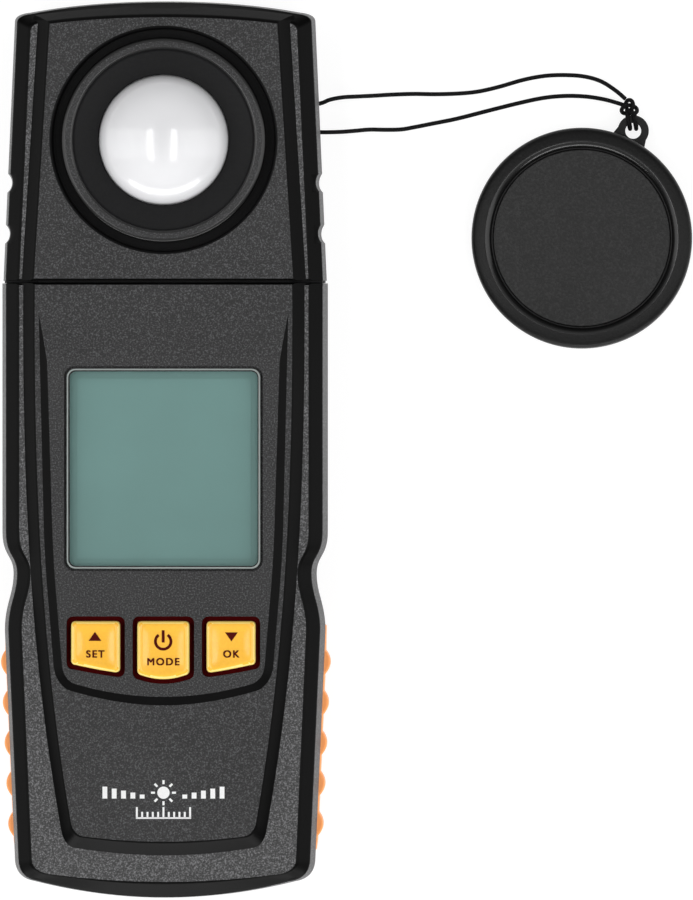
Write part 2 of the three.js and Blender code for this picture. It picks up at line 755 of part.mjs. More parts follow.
// ---------- small parts ----------
/** Pan-head self-tapping screw driven up from the back, with a cross slot. */
function screw(x, y, headZ, tipZ, headR = SCREW_HEAD_R, shankR = SCREW_R) {
  const body = turned(
    [
      [0, headZ],
      [headR - 0.3, headZ],
      [headR, headZ + 0.3],
      [headR, headZ + 1.3],
      [shankR, headZ + 1.5],
      [shankR, tipZ - 0.8],
      [0, tipZ],
    ],
    x, y, 10,
  );
  const slots = [
    box(x - 1.3, x + 1.3, y - 0.25, y + 0.25, headZ - 1, headZ + 0.7),
    box(x - 0.25, x + 0.25, y - 1.3, y + 1.3, headZ - 1, headZ + 0.7),
  ];
  return cut(solid(body), ...slots);
}

function key(k) {
  const [x, y] = keyCentre(k);
  return join(
    solid(prism(keyShape(k, -0.25), KEY_TOP_Z - 0.5, KEY_TOP_Z, 3)),
    prism(keyShape(k, 0), 21, KEY_TOP_Z - 0.5, 3),
    prism(keyShape(k, 1.4), 19.9, 21.1, 3),
    post(x, y, 18.2, 20, 2.9),
  );
}

function cell(index) {
  const x = (index - 1) * CELL_PITCH;
  const profile = [
    [0, 0],
    [CELL_R - 0.4, 0],
    [CELL_R, 0.4],
    [CELL_R, CELL_LENGTH - 1.8],
    [CELL_R - 0.5, CELL_LENGTH - 1.2],
    [1.9, CELL_LENGTH - 1.2],
    [1.9, CELL_LENGTH],
    [0, CELL_LENGTH],
  ].map(([r, h]) => new THREE.Vector2(r, h));
  return new THREE.LatheGeometry(profile, 20)
    .rotateX(index === 1 ? Math.PI : 0)
    .translate(x, index === 1 ? CELL_Y0 + CELL_LENGTH : CELL_Y0, CELL_Z);
}

class Helix extends THREE.Curve {
  constructor(radiusA, radiusB, height, turns) {
    super();
    Object.assign(this, { radiusA, radiusB, height, turns });
  }
  getPoint(t, target = new THREE.Vector3()) {
    const a = 2 * Math.PI * this.turns * t;
    const r = this.radiusA + (this.radiusB - this.radiusA) * t;
    return target.set(r * Math.cos(a), this.height * t, r * Math.sin(a));
  }
}

/** A round wire swept along a curve. */
function wire(curve, radius, steps, sides) {
  const section = new THREE.Shape();
  for (let i = 0; i < sides; i += 1) {
    const a = (2 * Math.PI * i) / sides;
    if (i === 0) section.moveTo(radius, 0);
    else section.lineTo(radius * Math.cos(a), radius * Math.sin(a));
  }
  return new THREE.ExtrudeGeometry(section, { steps, bevelEnabled: false, extrudePath: curve });
}

/** Coned contact spring whose wide end is seated towards the well's end wall. */
function cellSpring(x, y, direction) {
  return wire(new Helix(3.6, 2.2, direction, 2.5), 0.3, 30, 4).translate(x, y, CELL_Z);
}

// ---------- lens cap and lanyard ----------
const CAP_X = 78.4;
const CAP_Y = 39.85;
const CAP_R = 20.8;
const CAP_INNER_R = 19.55;
const CAP_HEIGHT = 10.6;
const CAP_ANGLE = THREE.MathUtils.degToRad(64.5);
const LUG_DISTANCE = 22.5;
const LUG_R = 2.95;
const LUG_HOLE_R = 1.5;
const LUG_Z0 = 1.8;
const LUG_Z1 = 3.4;
const LUG_X = CAP_X + LUG_DISTANCE * Math.cos(CAP_ANGLE);
const LUG_Y = CAP_Y + LUG_DISTANCE * Math.sin(CAP_ANGLE);

function lensCap() {
  const cup = turned(
    [
      [0, CAP_HEIGHT - 2.7],
      [CAP_INNER_R, CAP_HEIGHT - 2.7],
      [CAP_INNER_R, 0],
      [CAP_R - 0.2, 0],
      [CAP_R, 0.3],
      [CAP_R, CAP_HEIGHT - 2.2],
      [CAP_R - 0.7, CAP_HEIGHT - 0.6],
      [CAP_R - 2, CAP_HEIGHT],
      [18.15, CAP_HEIGHT],
      [17, CAP_HEIGHT - 1.2],
      [0, CAP_HEIGHT - 1.2],
    ],
    CAP_X, CAP_Y, 40,
  );
  const foot = 3.6;
  const lug = new THREE.Shape();
  lug.absarc(LUG_DISTANCE, 0, LUG_R, -Math.PI / 2, Math.PI / 2, false);
  lug.lineTo(20, foot);
  lug.lineTo(20, -foot);
  const plate = prism(lug, LUG_Z0, LUG_Z1, 10).rotateZ(CAP_ANGLE).translate(CAP_X, CAP_Y, 0);
  return cut(join(solid(cup), plate), post(LUG_X, LUG_Y, -1, 9, LUG_HOLE_R));
}

const CORD_R = 0.4;
// Each strand lies from the head to the knot at the cap's lug, in the order it runs.
const UPPER_STRAND = [
  [30.1, 65.55, 8.98],
  [31, 65.95, 8.9],
  [33.3, 66.4, 8],
  [36, 66.6, 6],
  [39, 66.8, 3.4],
  [42.4, 67.05, 1.3],
  [46.5, 67.2, 0.55],
  [50.5, 67.15, 0.5],
  [54.6, 67.25, 0.5],
  [58.5, 67.6, 0.5],
  [62.6, 68.5, 0.5],
  [67.3, 69.85, 0.5],
  [71.4, 70.6, 0.5],
  [75.4, 70.75, 0.5],
  [79, 70.45, 0.6],
  [82.1, 69.5, 1.2],
  [84.8, 67.75, 2.3],
  [85.9, 66.8, 2.75],
];
const LOWER_STRAND = [
  [30.1, 59.8, 9],
  [31.2, 59.8, 8.9],
  [33.3, 59.9, 8],
  [35.9, 60.15, 6.1],
  [38.4, 60.4, 3.9],
  [41.4, 60.4, 1.7],
  [44.3, 60.5, 0.6],
  [46.9, 60.95, 0.5],
  [50.2, 61.6, 0.5],
  [54.7, 62.5, 0.5],
  [60.6, 64, 0.5],
  [66, 65.35, 0.5],
  [70.9, 66.4, 0.5],
  [75, 66.8, 0.5],
  [79, 66.7, 0.65],
  [82.5, 66.15, 1.4],
  [85, 65.5, 2.3],
];
const through = (points) => new THREE.CatmullRomCurve3(points.map((p) => new THREE.Vector3(...p)));
const strand = (points) => wire(through(points), CORD_R, 30, 8);

/** The end of the loop: in at one eyelet, round the bar between them, and out at the other. */
const headLoop = () => {
  const [upper, lower] = EYELET_YS;
  return wire(
    through([
      [29.2, upper, EYELET_Z],
      [27.8, upper, EYELET_Z],
      [26.3, upper, EYELET_Z],
      [24.8, upper - 0.8, EYELET_Z],
      [24.2, (upper + lower) / 2, EYELET_Z],
      [24.8, lower + 0.8, EYELET_Z],
      [26.3, lower, EYELET_Z],
      [27.8, lower, EYELET_Z],
      [29.2, lower, EYELET_Z],
    ]),
    CORD_R, 14, 8,
  );
};
const KNOT = { x: 87.15, y: 64.8, z: 2.8, radius: 1.4 };

// ---------- assembly ----------
const part = new THREE.Group();

function add(name, shape, look, parent = part) {
  const geometry = shape.isBufferGeometry ? shape : geometryOf(shape);
  const mesh = new THREE.Mesh(geometry, look);
  mesh.name = name;
  parent.add(mesh);
  return mesh;
}

add("body_front_shell", bodyFrontShell(), CASE);
add("body_rear_shell", bodyRearShell(), CASE);
add("battery_door", batteryDoor(), CASE);
const grip = prism(gripOutline(0, true), GRIP_Z0, GRIP_Z1, 5);
add("right_grip", solid(grip), GRIP);
add("left_grip", mirroredSolid(grip), GRIP);

add("display_lens", prism(lensOutline(0, 1.5), LENS_Z0, LENS_Z1, 3), CLEAR_LENS);
add("lcd_glass", box(-17.2, 17.2, -22.4, 14.6, 19.2, 21.4), LCD);
add("backlight_plate", box(-16.6, 16.6, -19.4, 14.2, 17.2, 18.9), LIGHT_GUIDE);
add("zebra_strip", box(-16, 16, -22, -20.2, 16.9, 18.9), SILICONE);

const BOARD_Z0 = 15;
const BOARD_Z1 = 16.6;
const board = cut(
  solid(box(-23.2, 23.2, -46, 19.5, BOARD_Z0, BOARD_Z1)),
  ...BOARD_SCREWS.map(([x, y]) => post(x, y, 14, 18, SCREW_R + CLEAR)),
);
add("main_board", board, BOARD);
add("controller_chip", box(-5, 5, -9, 1, BOARD_Z0 - 1.6, BOARD_Z0 - 0.1), CHIP);
add("cable_socket", box(-4, 4, 16.5, 21.6, 11.3, 14.8), SOCKET);
BOARD_SCREWS.forEach(([x, y], i) => add(`board_screw_${i + 1}`, screw(x, y, BOARD_Z0 - 1.7, 19.8), STEEL));

const mat = cut(
  solid(box(-19, 19, -44.4, -30.2, 16.9, 17.6)),
  ...Object.values(KEYS).map((k) => post(...keyCentre(k), 15, 19, 3.4)),
);
add("keypad_mat", mat, SILICONE);
for (const [name, k] of Object.entries(KEYS)) {
  add(name, key(k), KEY);
  add(`${name}_contact`, post(...keyCentre(k), 17.45, 17.95, 2.2), CARBON);
}

for (let i = 0; i < 3; i += 1) {
  const x = (i - 1) * CELL_PITCH;
  const negativeLow = i !== 1;
  add(`battery_${i + 1}`, cell(i), CELL);
  const springY = negativeLow ? WELL_Y0 + 0.4 : WELL_Y1 - 0.4;
  const plateY = negativeLow ? WELL_Y1 - 0.35 : WELL_Y0 + 0.35;
  add(`battery_spring_${i + 1}`, cellSpring(x, springY, negativeLow ? SPRING_HEIGHT : -SPRING_HEIGHT), STEEL);
  add(`battery_contact_${i + 1}`, box(x - 4, x + 4, plateY - 0.2, plateY + 0.2, 4.3, 12.3), STEEL);
}
CASE_SCREWS.forEach(([x, y], i) => add(`case_screw_${i + 1}`, screw(x, y, 2.4, 17), STEEL));
add("sensor_cable", turnedOnAxis([[0, 21.9], [1.4, 21.9], [1.4, 37.2], [0, 37.2]], 12), CHIP);
add("friction_washer", axisRing(5.9, 7.6, 28.95, 29.3), SILICONE);

add("head_front_shell", headFrontShell(), CASE);
add("head_rear_shell", headRearShell(), CASE);
add("sensor_collar", sensorCollar(), COLLAR);
add("diffuser_dome", diffuserDome(), DOME);
add("sensor_holder", sensorHolder(), NYLON);
add("photopic_filter", post(0, SENSOR_Y, 16.6, 17.8, 5.6, 24), FILTER);
add("photodiode", box(-4, 4, SENSOR_Y - 4, SENSOR_Y + 4, 13.9, 16.2), SILICON);
add("sensor_board", post(0, SENSOR_Y, 12, 13.6, 15.6, 32), BOARD);
add("sensor_plug", box(-4, 4, 37.6, 42.1, 10.9, 15.1), SOCKET);
add("swivel_hub", swivelHub(), NYLON);
add("swivel_clip", axisRing(4.85, 7.6, 27.4, 28.7, 0.6), STEEL);
HEAD_SCREWS.forEach(([x, y], i) => add(`head_screw_${i + 1}`, screw(x, y, 2.4, 16.9), STEEL));
add("lanyard_head_loop", headLoop(), CORD);

add("lens_cap", lensCap(), CAP);
add("lanyard_upper_strand", strand(UPPER_STRAND), CORD);
add("lanyard_lower_strand", strand(LOWER_STRAND), CORD);
add(
  "lanyard_knot",
  new THREE.SphereGeometry(KNOT.radius, 12, 8).translate(KNOT.x, KNOT.y, KNOT.z),
  CORD,
);

export default part;
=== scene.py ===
"""Looks for the handheld light meter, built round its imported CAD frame.

Lengths are millimetres until a mesh is made, which scales them to metres. Only the camera, the
lights and what the cord calls are given are in metres.
+Z is out of the display, +Y runs to the sensor head, and the lens cap lies on the +X side.
"""

import math

import bmesh
import bpy
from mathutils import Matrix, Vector


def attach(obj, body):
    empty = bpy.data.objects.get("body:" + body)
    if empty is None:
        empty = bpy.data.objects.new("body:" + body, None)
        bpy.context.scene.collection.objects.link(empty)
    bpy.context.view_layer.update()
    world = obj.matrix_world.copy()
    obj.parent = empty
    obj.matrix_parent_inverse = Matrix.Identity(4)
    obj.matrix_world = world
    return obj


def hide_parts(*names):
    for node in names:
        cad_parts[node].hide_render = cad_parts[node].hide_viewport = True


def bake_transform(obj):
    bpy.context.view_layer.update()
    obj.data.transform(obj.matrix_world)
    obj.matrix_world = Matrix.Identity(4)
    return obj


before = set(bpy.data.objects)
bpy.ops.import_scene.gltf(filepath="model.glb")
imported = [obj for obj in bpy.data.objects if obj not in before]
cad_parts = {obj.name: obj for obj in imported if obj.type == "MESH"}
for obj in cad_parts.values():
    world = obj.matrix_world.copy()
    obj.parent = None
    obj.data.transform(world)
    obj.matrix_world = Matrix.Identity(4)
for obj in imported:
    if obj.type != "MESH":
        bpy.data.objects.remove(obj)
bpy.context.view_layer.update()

# ---- dimensions shared with the CAD ----
HALF_LENGTH = 84.35
HALF_WIDTH = 30.65
PART_Z = 13.0  # plane where the front and rear shells meet
SEAM = 0.15
AXIS_Z = PART_Z
SHOULDER_Z = 21.2  # outer, lower step of the front
DECK_Z = 23.5  # raised middle of the front
PANEL_Z = 24.3  # display and key panel
CEILING_Z = 21.7
WALL = 1.9
FLOOR = 2.4
CASE_TOP = 31.25
HEAD_BOTTOM = 31.75
SENSOR_Y = 58.1
HEAD_HALF_BOTTOM = 30.45
HEAD_HALF_TOP = 28.3
HEAD_CORNER_Y = 80.6
HEAD_TAPER = (HEAD_HALF_BOTTOM - HEAD_HALF_TOP) / (HEAD_CORNER_Y - HEAD_BOTTOM)
CAP_X = 78.4
CAP_Y = 39.85
CAP_ANGLE = math.radians(64.5)
CASE_SCREWS = [(-22.3, 24.3), (22.3, 24.3), (-22.2, -73.4), (22.2, -73.4)]
HEAD_SCREWS = [(-23.0, 38.8), (23.0, 38.8), (-22.4, 75.6), (22.4, 75.6)]


# ---- camera ----
def make_camera():
    """Almost straight down from 3 m with a long lens, leaning a little to the right."""
    distance = 3.0
    field_height = 0.16931
    lean = math.radians(1.15)
    aim = Vector((0.03418, -0.0001, 0.015))
    data = bpy.data.cameras.new("camera")
    data.sensor_fit = "VERTICAL"
    data.sensor_height = 36.0
    data.lens = data.sensor_height * distance / field_height
    data.clip_end = 20.0
    camera = placed("camera", data)
    camera.location = aim + distance * Vector((math.sin(lean), 0, math.cos(lean)))
    camera.rotation_euler = (0, lean, 0)
    bpy.context.scene.camera = camera


# ---- mesh helpers ----
def placed(name, data):
    """A new object in the scene."""
    obj = bpy.data.objects.new(name, data)
    bpy.context.scene.collection.objects.link(obj)
    return obj


def to_object(name, points, faces):
    """A mesh object from millimetre points."""
    mesh = bpy.data.meshes.new(name)
    mesh.from_pydata([(x / 1000, y / 1000, z / 1000) for x, y, z in points], [], faces)
    mesh.validate()
    return placed(name, mesh)


def skin(rows, count):
    """Faces of a closed skin over rows of points: the sides, then a cap at each end."""
    faces = []
    for row in range(rows - 1):
        for i in range(count):
            a = row * count + i
            b = row * count + (i + 1) % count
            faces.append((a, b, b + count, a + count))
    last = (rows - 1) * count
    return faces + [tuple(reversed(range(count))), tuple(range(last, last + count))]


def loft(name, levels):
    """Closed skin over a stack of rings of equal count, lowest first."""
    points = [(x, y, z) for ring, z in levels for x, y in ring]
    return outward(to_object(name, points, skin(len(levels), len(levels[0][0]))))


def stack(name, ring, *rows):
    """A loft of one kind of ring: each row holds what the ring takes, and then its height."""
    return loft(name, [(ring(*row[:-1]), row[-1]) for row in rows])


def outward(obj):
    """Turns all faces of a closed mesh out."""
    bm = bmesh.new()
    bm.from_mesh(obj.data)
    bmesh.ops.recalc_face_normals(bm, faces=bm.faces)
    bm.to_mesh(obj.data)
    bm.free()
    return obj


def lathe(name, profile, x, y, steps=96):
    """A profile of (radius, height) points turned about a vertical line through (x, y)."""
    points = []
    rows = []
    for radius, z in profile:
        ring = circle(x, y, radius, steps) if radius > 1e-6 else [(x, y)]
        rows.append(range(len(points), len(points) + len(ring)))
        points += [(u, v, z) for u, v in ring]
    faces = []
    closed = rows + [rows[0]] if len(rows[0]) > 1 and profile[0] != profile[-1] else rows
    for low, high in zip(closed, closed[1:]):
        for i in range(steps):
            j = (i + 1) % steps
            a = [low[i % len(low)], low[j % len(low)]] if len(low) > 1 else [low[0]]
            b = [high[j % len(high)], high[i % len(high)]] if len(high) > 1 else [high[0]]
            if len(a) + len(b) > 2:
                faces.append(tuple(a + b))
    return outward(to_object(name, points, faces))


def prism(name, ring, z0, z1):
    return loft(name, [(ring, z0), (ring, z1)])


def rectangle(x0, x1, y0, y1):
    return [(x0, y0), (x1, y0), (x1, y1), (x0, y1)]


def box(name, x0, x1, y0, y1, z0, z1):
    return prism(name, rectangle(x0, x1, y0, y1), z0, z1)


def circle(x, y, radius, steps=32):
    angles = [2 * math.pi * i / steps for i in range(steps)]
    return [(x + radius * math.cos(a), y + radius * math.sin(a)) for a in angles]


def post(x, y, z0, z1, radius, steps=32):
    return prism("post", circle(x, y, radius, steps), z0, z1)


def posts(places, z0, z1, radius):
    return [post(x, y, z0, z1, radius) for x, y in places]


def laid_along_y(name, ring, x, z, y0, y1):
    """A prism along Y, its ring centred on (x, z)."""
    obj = prism(name, ring, 0, y1 - y0)
    for v in obj.data.vertices:
        v.co = Vector((v.co.x + x / 1000, y0 / 1000 + v.co.z, v.co.y + z / 1000))
    return outward(obj)


def along_y(x, z, y0, y1, radius, steps=32):
    """A round solid along Y, centred on (x, z)."""
    return laid_along_y("along_y", circle(0, 0, radius, steps), x, z, y0, y1)


def along_x(x0, x1, y, z, radius, steps=24):
    """A round solid along X, centred on (y, z)."""
    obj = prism("along_x", circle(0, 0, radius, steps), 0, x1 - x0)
    for v in obj.data.vertices:
        v.co = Vector((x0 / 1000 + v.co.z, v.co.x + y / 1000, v.co.y + z / 1000))
    return outward(obj)


def boolean(obj, tools, operation):
    """Joins, cuts or intersects obj with each tool, and removes the tools."""
    for tool in tools:
        modifier = obj.modifiers.new("boolean", "BOOLEAN")
        modifier.operation = operation
        modifier.solver = "EXACT"
        modifier.object = tool
        graph = bpy.context.evaluated_depsgraph_get()
        result = bpy.data.meshes.new_from_object(obj.evaluated_get(graph))
        obj.modifiers.clear()
        obj.data = result
        bpy.data.objects.remove(tool)
    return obj


def cut(obj, *tools):
    return boolean(obj, tools, "DIFFERENCE")


def join(obj, *tools):
    return boolean(obj, tools, "UNION")


def overlay(obj, *others):
    """Puts other meshes in the same object as they are."""
    bm = bmesh.new()
    bm.from_mesh(obj.data)
    for other in others:
        bm.from_mesh(other.data)
        bpy.data.objects.remove(other)
    bm.to_mesh(obj.data)
    bm.free()
    return obj


def dress(obj, materials, pick=None):
    """Gives an object its materials; pick(centre in mm, normal) returns a face's material number."""
    obj.data.materials.clear()
    for material in materials:
        obj.data.materials.append(material)
    for polygon in obj.data.polygons:
        polygon.material_index = pick(polygon.center * 1000, polygon.normal) if pick else 0


def shade_round(obj):
    """Shades a mesh smooth all over."""
    for polygon in obj.data.polygons:
        polygon.use_smooth = True


def weigh_normals(obj):
    normals = obj.modifiers.new("normals", "WEIGHTED_NORMAL")
    normals.keep_sharp = True
    normals.weight = 80


def soften(obj, width, segments, angle):
    """Rounds the edges that turn by more than the angle in degrees."""
    bevel = obj.modifiers.new("bevel", "BEVEL")
    bevel.width = width / 1000
    bevel.segments = segments
    bevel.limit_method = "ANGLE"
    bevel.angle_limit = math.radians(angle)


def smooth(obj, width, segments=2, angle=28):
    """Rounds the sharp edges and shades the rest smooth."""
    shade_round(obj)
    soften(obj, width, segments, angle)
    weigh_normals(obj)


def smooth_shell(obj, angle=24):
    """Shades a cut shell smooth, with its edges kept crisp; its lofts carry the rounding."""
    bm = bmesh.new()
    bm.from_mesh(obj.data)
    for face in bm.faces:
        face.smooth = True
    for edge in bm.edges:
        edge.smooth = len(edge.link_faces) == 2 and edge.calc_face_angle() < math.radians(angle)
    bm.to_mesh(obj.data)
    bm.free()
    weigh_normals(obj)


def finished(obj, body, slot, *nodes):
    """Puts a piece on its body and hides the CAD nodes it stands for; slot is not used."""
    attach(obj, body)
    if nodes:
        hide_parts(*nodes)


# ---- outline helpers ----
def line(a, b, n):
    return [(a[0] + (b[0] - a[0]) * i / n, a[1] + (b[1] - a[1]) * i / n) for i in range(n)]


def quad(a, c, b, n):
    points = []
    for i in range(n):
        t = i / n
        u = 1 - t
        points.append(tuple(u * u * a[k] + 2 * u * t * c[k] + t * t * b[k] for k in (0, 1)))
    return points


def cubic(a, c, d, b, n):
    points = []
    for i in range(n):
        t = i / n
        u = 1 - t
        weights = (u**3, 3 * u * u * t, 3 * u * t * t, t**3)
        points.append(tuple(sum(w * p[k] for w, p in zip(weights, (a, c, d, b))) for k in (0, 1)))
    return points


def path(start, *legs):
    """Points along legs of (count, any controls, end), each from where the last one ended."""
    points = []
    for count, *corners in legs:
        curve = (line, quad, cubic)[len(corners) - 1]
        points += curve(start, *corners, count)
        start = corners[-1]
    return points


def mirrored(start, *legs):
    """A full ring from the legs of its right half, from the centre line back to it."""
    half = path(start, *legs) + [legs[-1][-1]]
    return half + [(-x, y) for x, y in reversed(half[1:-1])]


def turned(points, angle, x, y):
    """Points turned about the origin, and then moved by (x, y)."""
    c, s = math.cos(angle), math.sin(angle)
    return [(x + u * c - v * s, y + u * s + v * c) for u, v in points]


def ring_arc(x, y, outer, inner, from_deg, to_deg, steps=28):
    angles = [math.radians(from_deg + (to_deg - from_deg) * i / steps) for i in range(steps + 1)]
    points = [(x + outer * math.cos(a), y + outer * math.sin(a)) for a in angles]
    points += [(x + inner * math.cos(a), y + inner * math.sin(a)) for a in reversed(angles)]
    return points


def case_ring(side, bottom=None, top=0.0, rise=3.1):
    """Outline of the case, pulled in from its sides, its bottom and its top."""
    bottom = side if bottom is None else bottom
    wide = HALF_WIDTH - side
    waist = wide - 2.1
    hip = wide - 0.45
    foot = wide - 2.35
    low = -HALF_LENGTH + bottom
    toe = 24.6 - 0.8 * side
    high = CASE_TOP - top
    return mirrored(
        (0, high), (4, (wide, high)), (4, (wide, -15.5)),
        (12, (wide, -20.1), (waist, -19.9), (waist, -23.3)),
        (12, (waist, -27.3), (hip, -29), (hip, -34)), (4, (foot, -77)),
        (14, (foot - 0.1, low + rise + 0.6), (toe, low + rise)), (16, (toe / 2, low), (0, low)),
    )


def deck_ring(grow, top=CASE_TOP):
    """Outline of the raised middle of the case."""
    wide = 24.15 + grow
    heel_x = 17.35 + 0.9 * grow
    heel_y = -70.1 - 0.35 * grow
    toe_x = 15.1 + 0.8 * grow
    toe_y = -72.6 - 0.95 * grow
    low = -73.6 - 1.15 * grow
    return mirrored(
        (0, top), (4, (wide, top)),
        (32, (24.4 + grow, -10), (22.4 + grow, -41), (heel_x, heel_y)),
        (10, (heel_x - 0.5, toe_y + 0.35), (toe_x, toe_y)), (20, (toe_x / 2, low), (0, low)),
    )


def panel_ring(grow, rise):
    """Outline of the display and key panel; rise moves its upper end up."""
    top = 15.5 + rise
    low = -46.3 - grow
    return mirrored(
        (0, top), (4, (21.7 + grow, top)), (4, (20.75 + grow, -14.5)),
        (6, (20.5 + grow, -22), (19.85 + grow, -29)), (3, (18.9 + grow, -40.6)),
        (8, (18.6 + grow, -43.1 - 0.3 * grow), (16.6 + 0.8 * grow, -43.9 - 0.7 * grow)),
        (14, (8.5, low), (0, low)),
    )


def head_ring(side, end=None, joint=0.0):
    """Outline of the head, pulled in from its sides, its far end and the joint."""
    end = side if end is None else end
    low = HEAD_HALF_BOTTOM - side
    high = HEAD_HALF_TOP - side
    top = HALF_LENGTH - end
    return mirrored(
        (0, top), (16, (high / 2, top), (high - 2.9, top - 2.1)),
        (12, (high - 0.1, top - 2.4), (high, HEAD_CORNER_Y - end)),
        (10, (low, HEAD_BOTTOM + joint)), (4, (0, HEAD_BOTTOM + joint)),
    )


def head_deck_ring(grow, joint=0.0):
    """Outline of the raised middle of the head, run on past the head's far end."""
    low = HEAD_BOTTOM + joint
    turn = HEAD_CORNER_Y
    top = HALF_LENGTH + 4

    def wide(y):
        taper = 3.0 * (y - HEAD_BOTTOM) / (80.0 - HEAD_BOTTOM)
        return 24.35 + grow - taper - 0.6 * max(0, y - turn)

    return mirrored(
        (0, top), (6, (wide(top), top)), (3, (wide(turn), turn)), (14, (wide(low), low)), (4, (0, low))
    )


def rounded(x0, x1, y0, y1, radius, steps=6):
    """A rectangle with round corners."""
    points = []
    left, right, low, high = x0 + radius, x1 - radius, y0 + radius, y1 - radius
    for x, y, start in ((right, high, 0), (left, high, 90), (left, low, 180), (right, low, 270)):
        for i in range(steps + 1):
            a = math.radians(start + 90 * i / steps)
            points.append((x + radius * math.cos(a), y + radius * math.sin(a)))
    return points


KEY_TOP_Y = -32.2
# Each key's left and right side, the height of its two lower corners, and its lower edge's sag.
KEYS = {
    "set_key": (-17.3, -8.1, -40.4, -41.8, 0.1),
    "power_key": (-4.9, 4.9, -42.2, -42.2, 0.9),
    "enter_key": (8.1, 17.3, -41.8, -40.4, 0.1),
}
KEY_BODIES = {"set_key": "left_button", "power_key": "centre_button", "enter_key": "right_button"}


def key_ring(key, grow, r=0.9):
    """Outline of a key whose lower edge slopes or sags; r is the radius of its corners."""
    x0, x1, y0, y1, sag = KEYS[key]
    left = x0 - grow
    right = x1 + grow
    top = KEY_TOP_Y + grow
    a = y0 - grow
    b = y1 - grow
    dip = 0.2 * sag
    middle = ((left + right) / 2, (a + b) / 2 - 1.8 * sag)
    return path(
        (left, a + r), (6, (left, a), (left + r, a - dip)), (12, middle, (right - r, b - dip)),
        (6, (right, b), (right, b + r)), (6, (right, top - r)),
        (6, (right, top), (right - r, top)), (8, (left + r, top)),
        (6, (left, top), (left, top - r)), (6, (left, a + r)),
    )


# ---- materials ----
def linear(r, g, b):
    """Scene-linear colour of an sRGB colour given from 0 to 255."""

    def channel(c):
        c /= 255
        return c / 12.92 if c <= 0.04045 else ((c + 0.055) / 1.055) ** 2.4

    return (channel(r), channel(g), channel(b), 1.0)


def shade(color, factor):
    return tuple(min(1.0, c * factor) for c in color[:3]) + (1.0,)


def plain_material(name, color, roughness):
    """A Principled material with its shader and node tree."""
    material = bpy.data.materials.new(name)
    material.use_nodes = True
    shader = material.node_tree.nodes["Principled BSDF"]
    shader.inputs["Base Color"].default_value = color
    shader.inputs["Roughness"].default_value = roughness
    return material, shader, material.node_tree


def coordinates(tree, space="Object"):
    return tree.nodes.new("ShaderNodeTexCoord").outputs[space]


def noise(tree, size, detail=2.0, roughness=0.5):
    """Noise whose blobs are about size millimetres across, fixed to the piece."""
    texture = tree.nodes.new("ShaderNodeTexNoise")
    texture.inputs["Scale"].default_value = 1000 / size
    texture.inputs["Detail"].default_value = detail
    texture.inputs["Roughness"].default_value = roughness
    tree.links.new(coordinates(tree), texture.inputs["Vector"])
    return texture.outputs["Fac"]


def ramp(tree, value, stops):
    """Maps a value to colours at the given positions."""
    node = tree.nodes.new("ShaderNodeValToRGB")
    elements = node.color_ramp.elements
    for element, (position, color) in zip(elements, (stops[0], stops[-1])):
        element.position = position
        element.color = color
    for position, color in stops[1:-1]:
        elements.new(position).color = color
    tree.links.new(value, node.inputs["Fac"])
    return node.outputs["Color"]


def tint(tree, shader, value, *stops):
    """Colours a surface by a value that varies over it."""
    tree.links.new(ramp(tree, value, stops), shader.inputs["Base Color"])


def span(tree, value, low, high, to_low, to_high):
    node = tree.nodes.new("ShaderNodeMapRange")
    limits = {"From Min": low, "From Max": high, "To Min": to_low, "To Max": to_high}
    for name, limit in limits.items():
        node.inputs[name].default_value = limit
    tree.links.new(value, node.inputs["Value"])
    return node.outputs["Result"]


def bump(tree, shader, height, strength, distance):
    node = tree.nodes.new("ShaderNodeBump")
    node.inputs["Strength"].default_value = strength
    node.inputs["Distance"].default_value = distance / 1000
    tree.links.new(height, node.inputs["Height"])
    tree.links.new(node.outputs["Normal"], shader.inputs["Normal"])
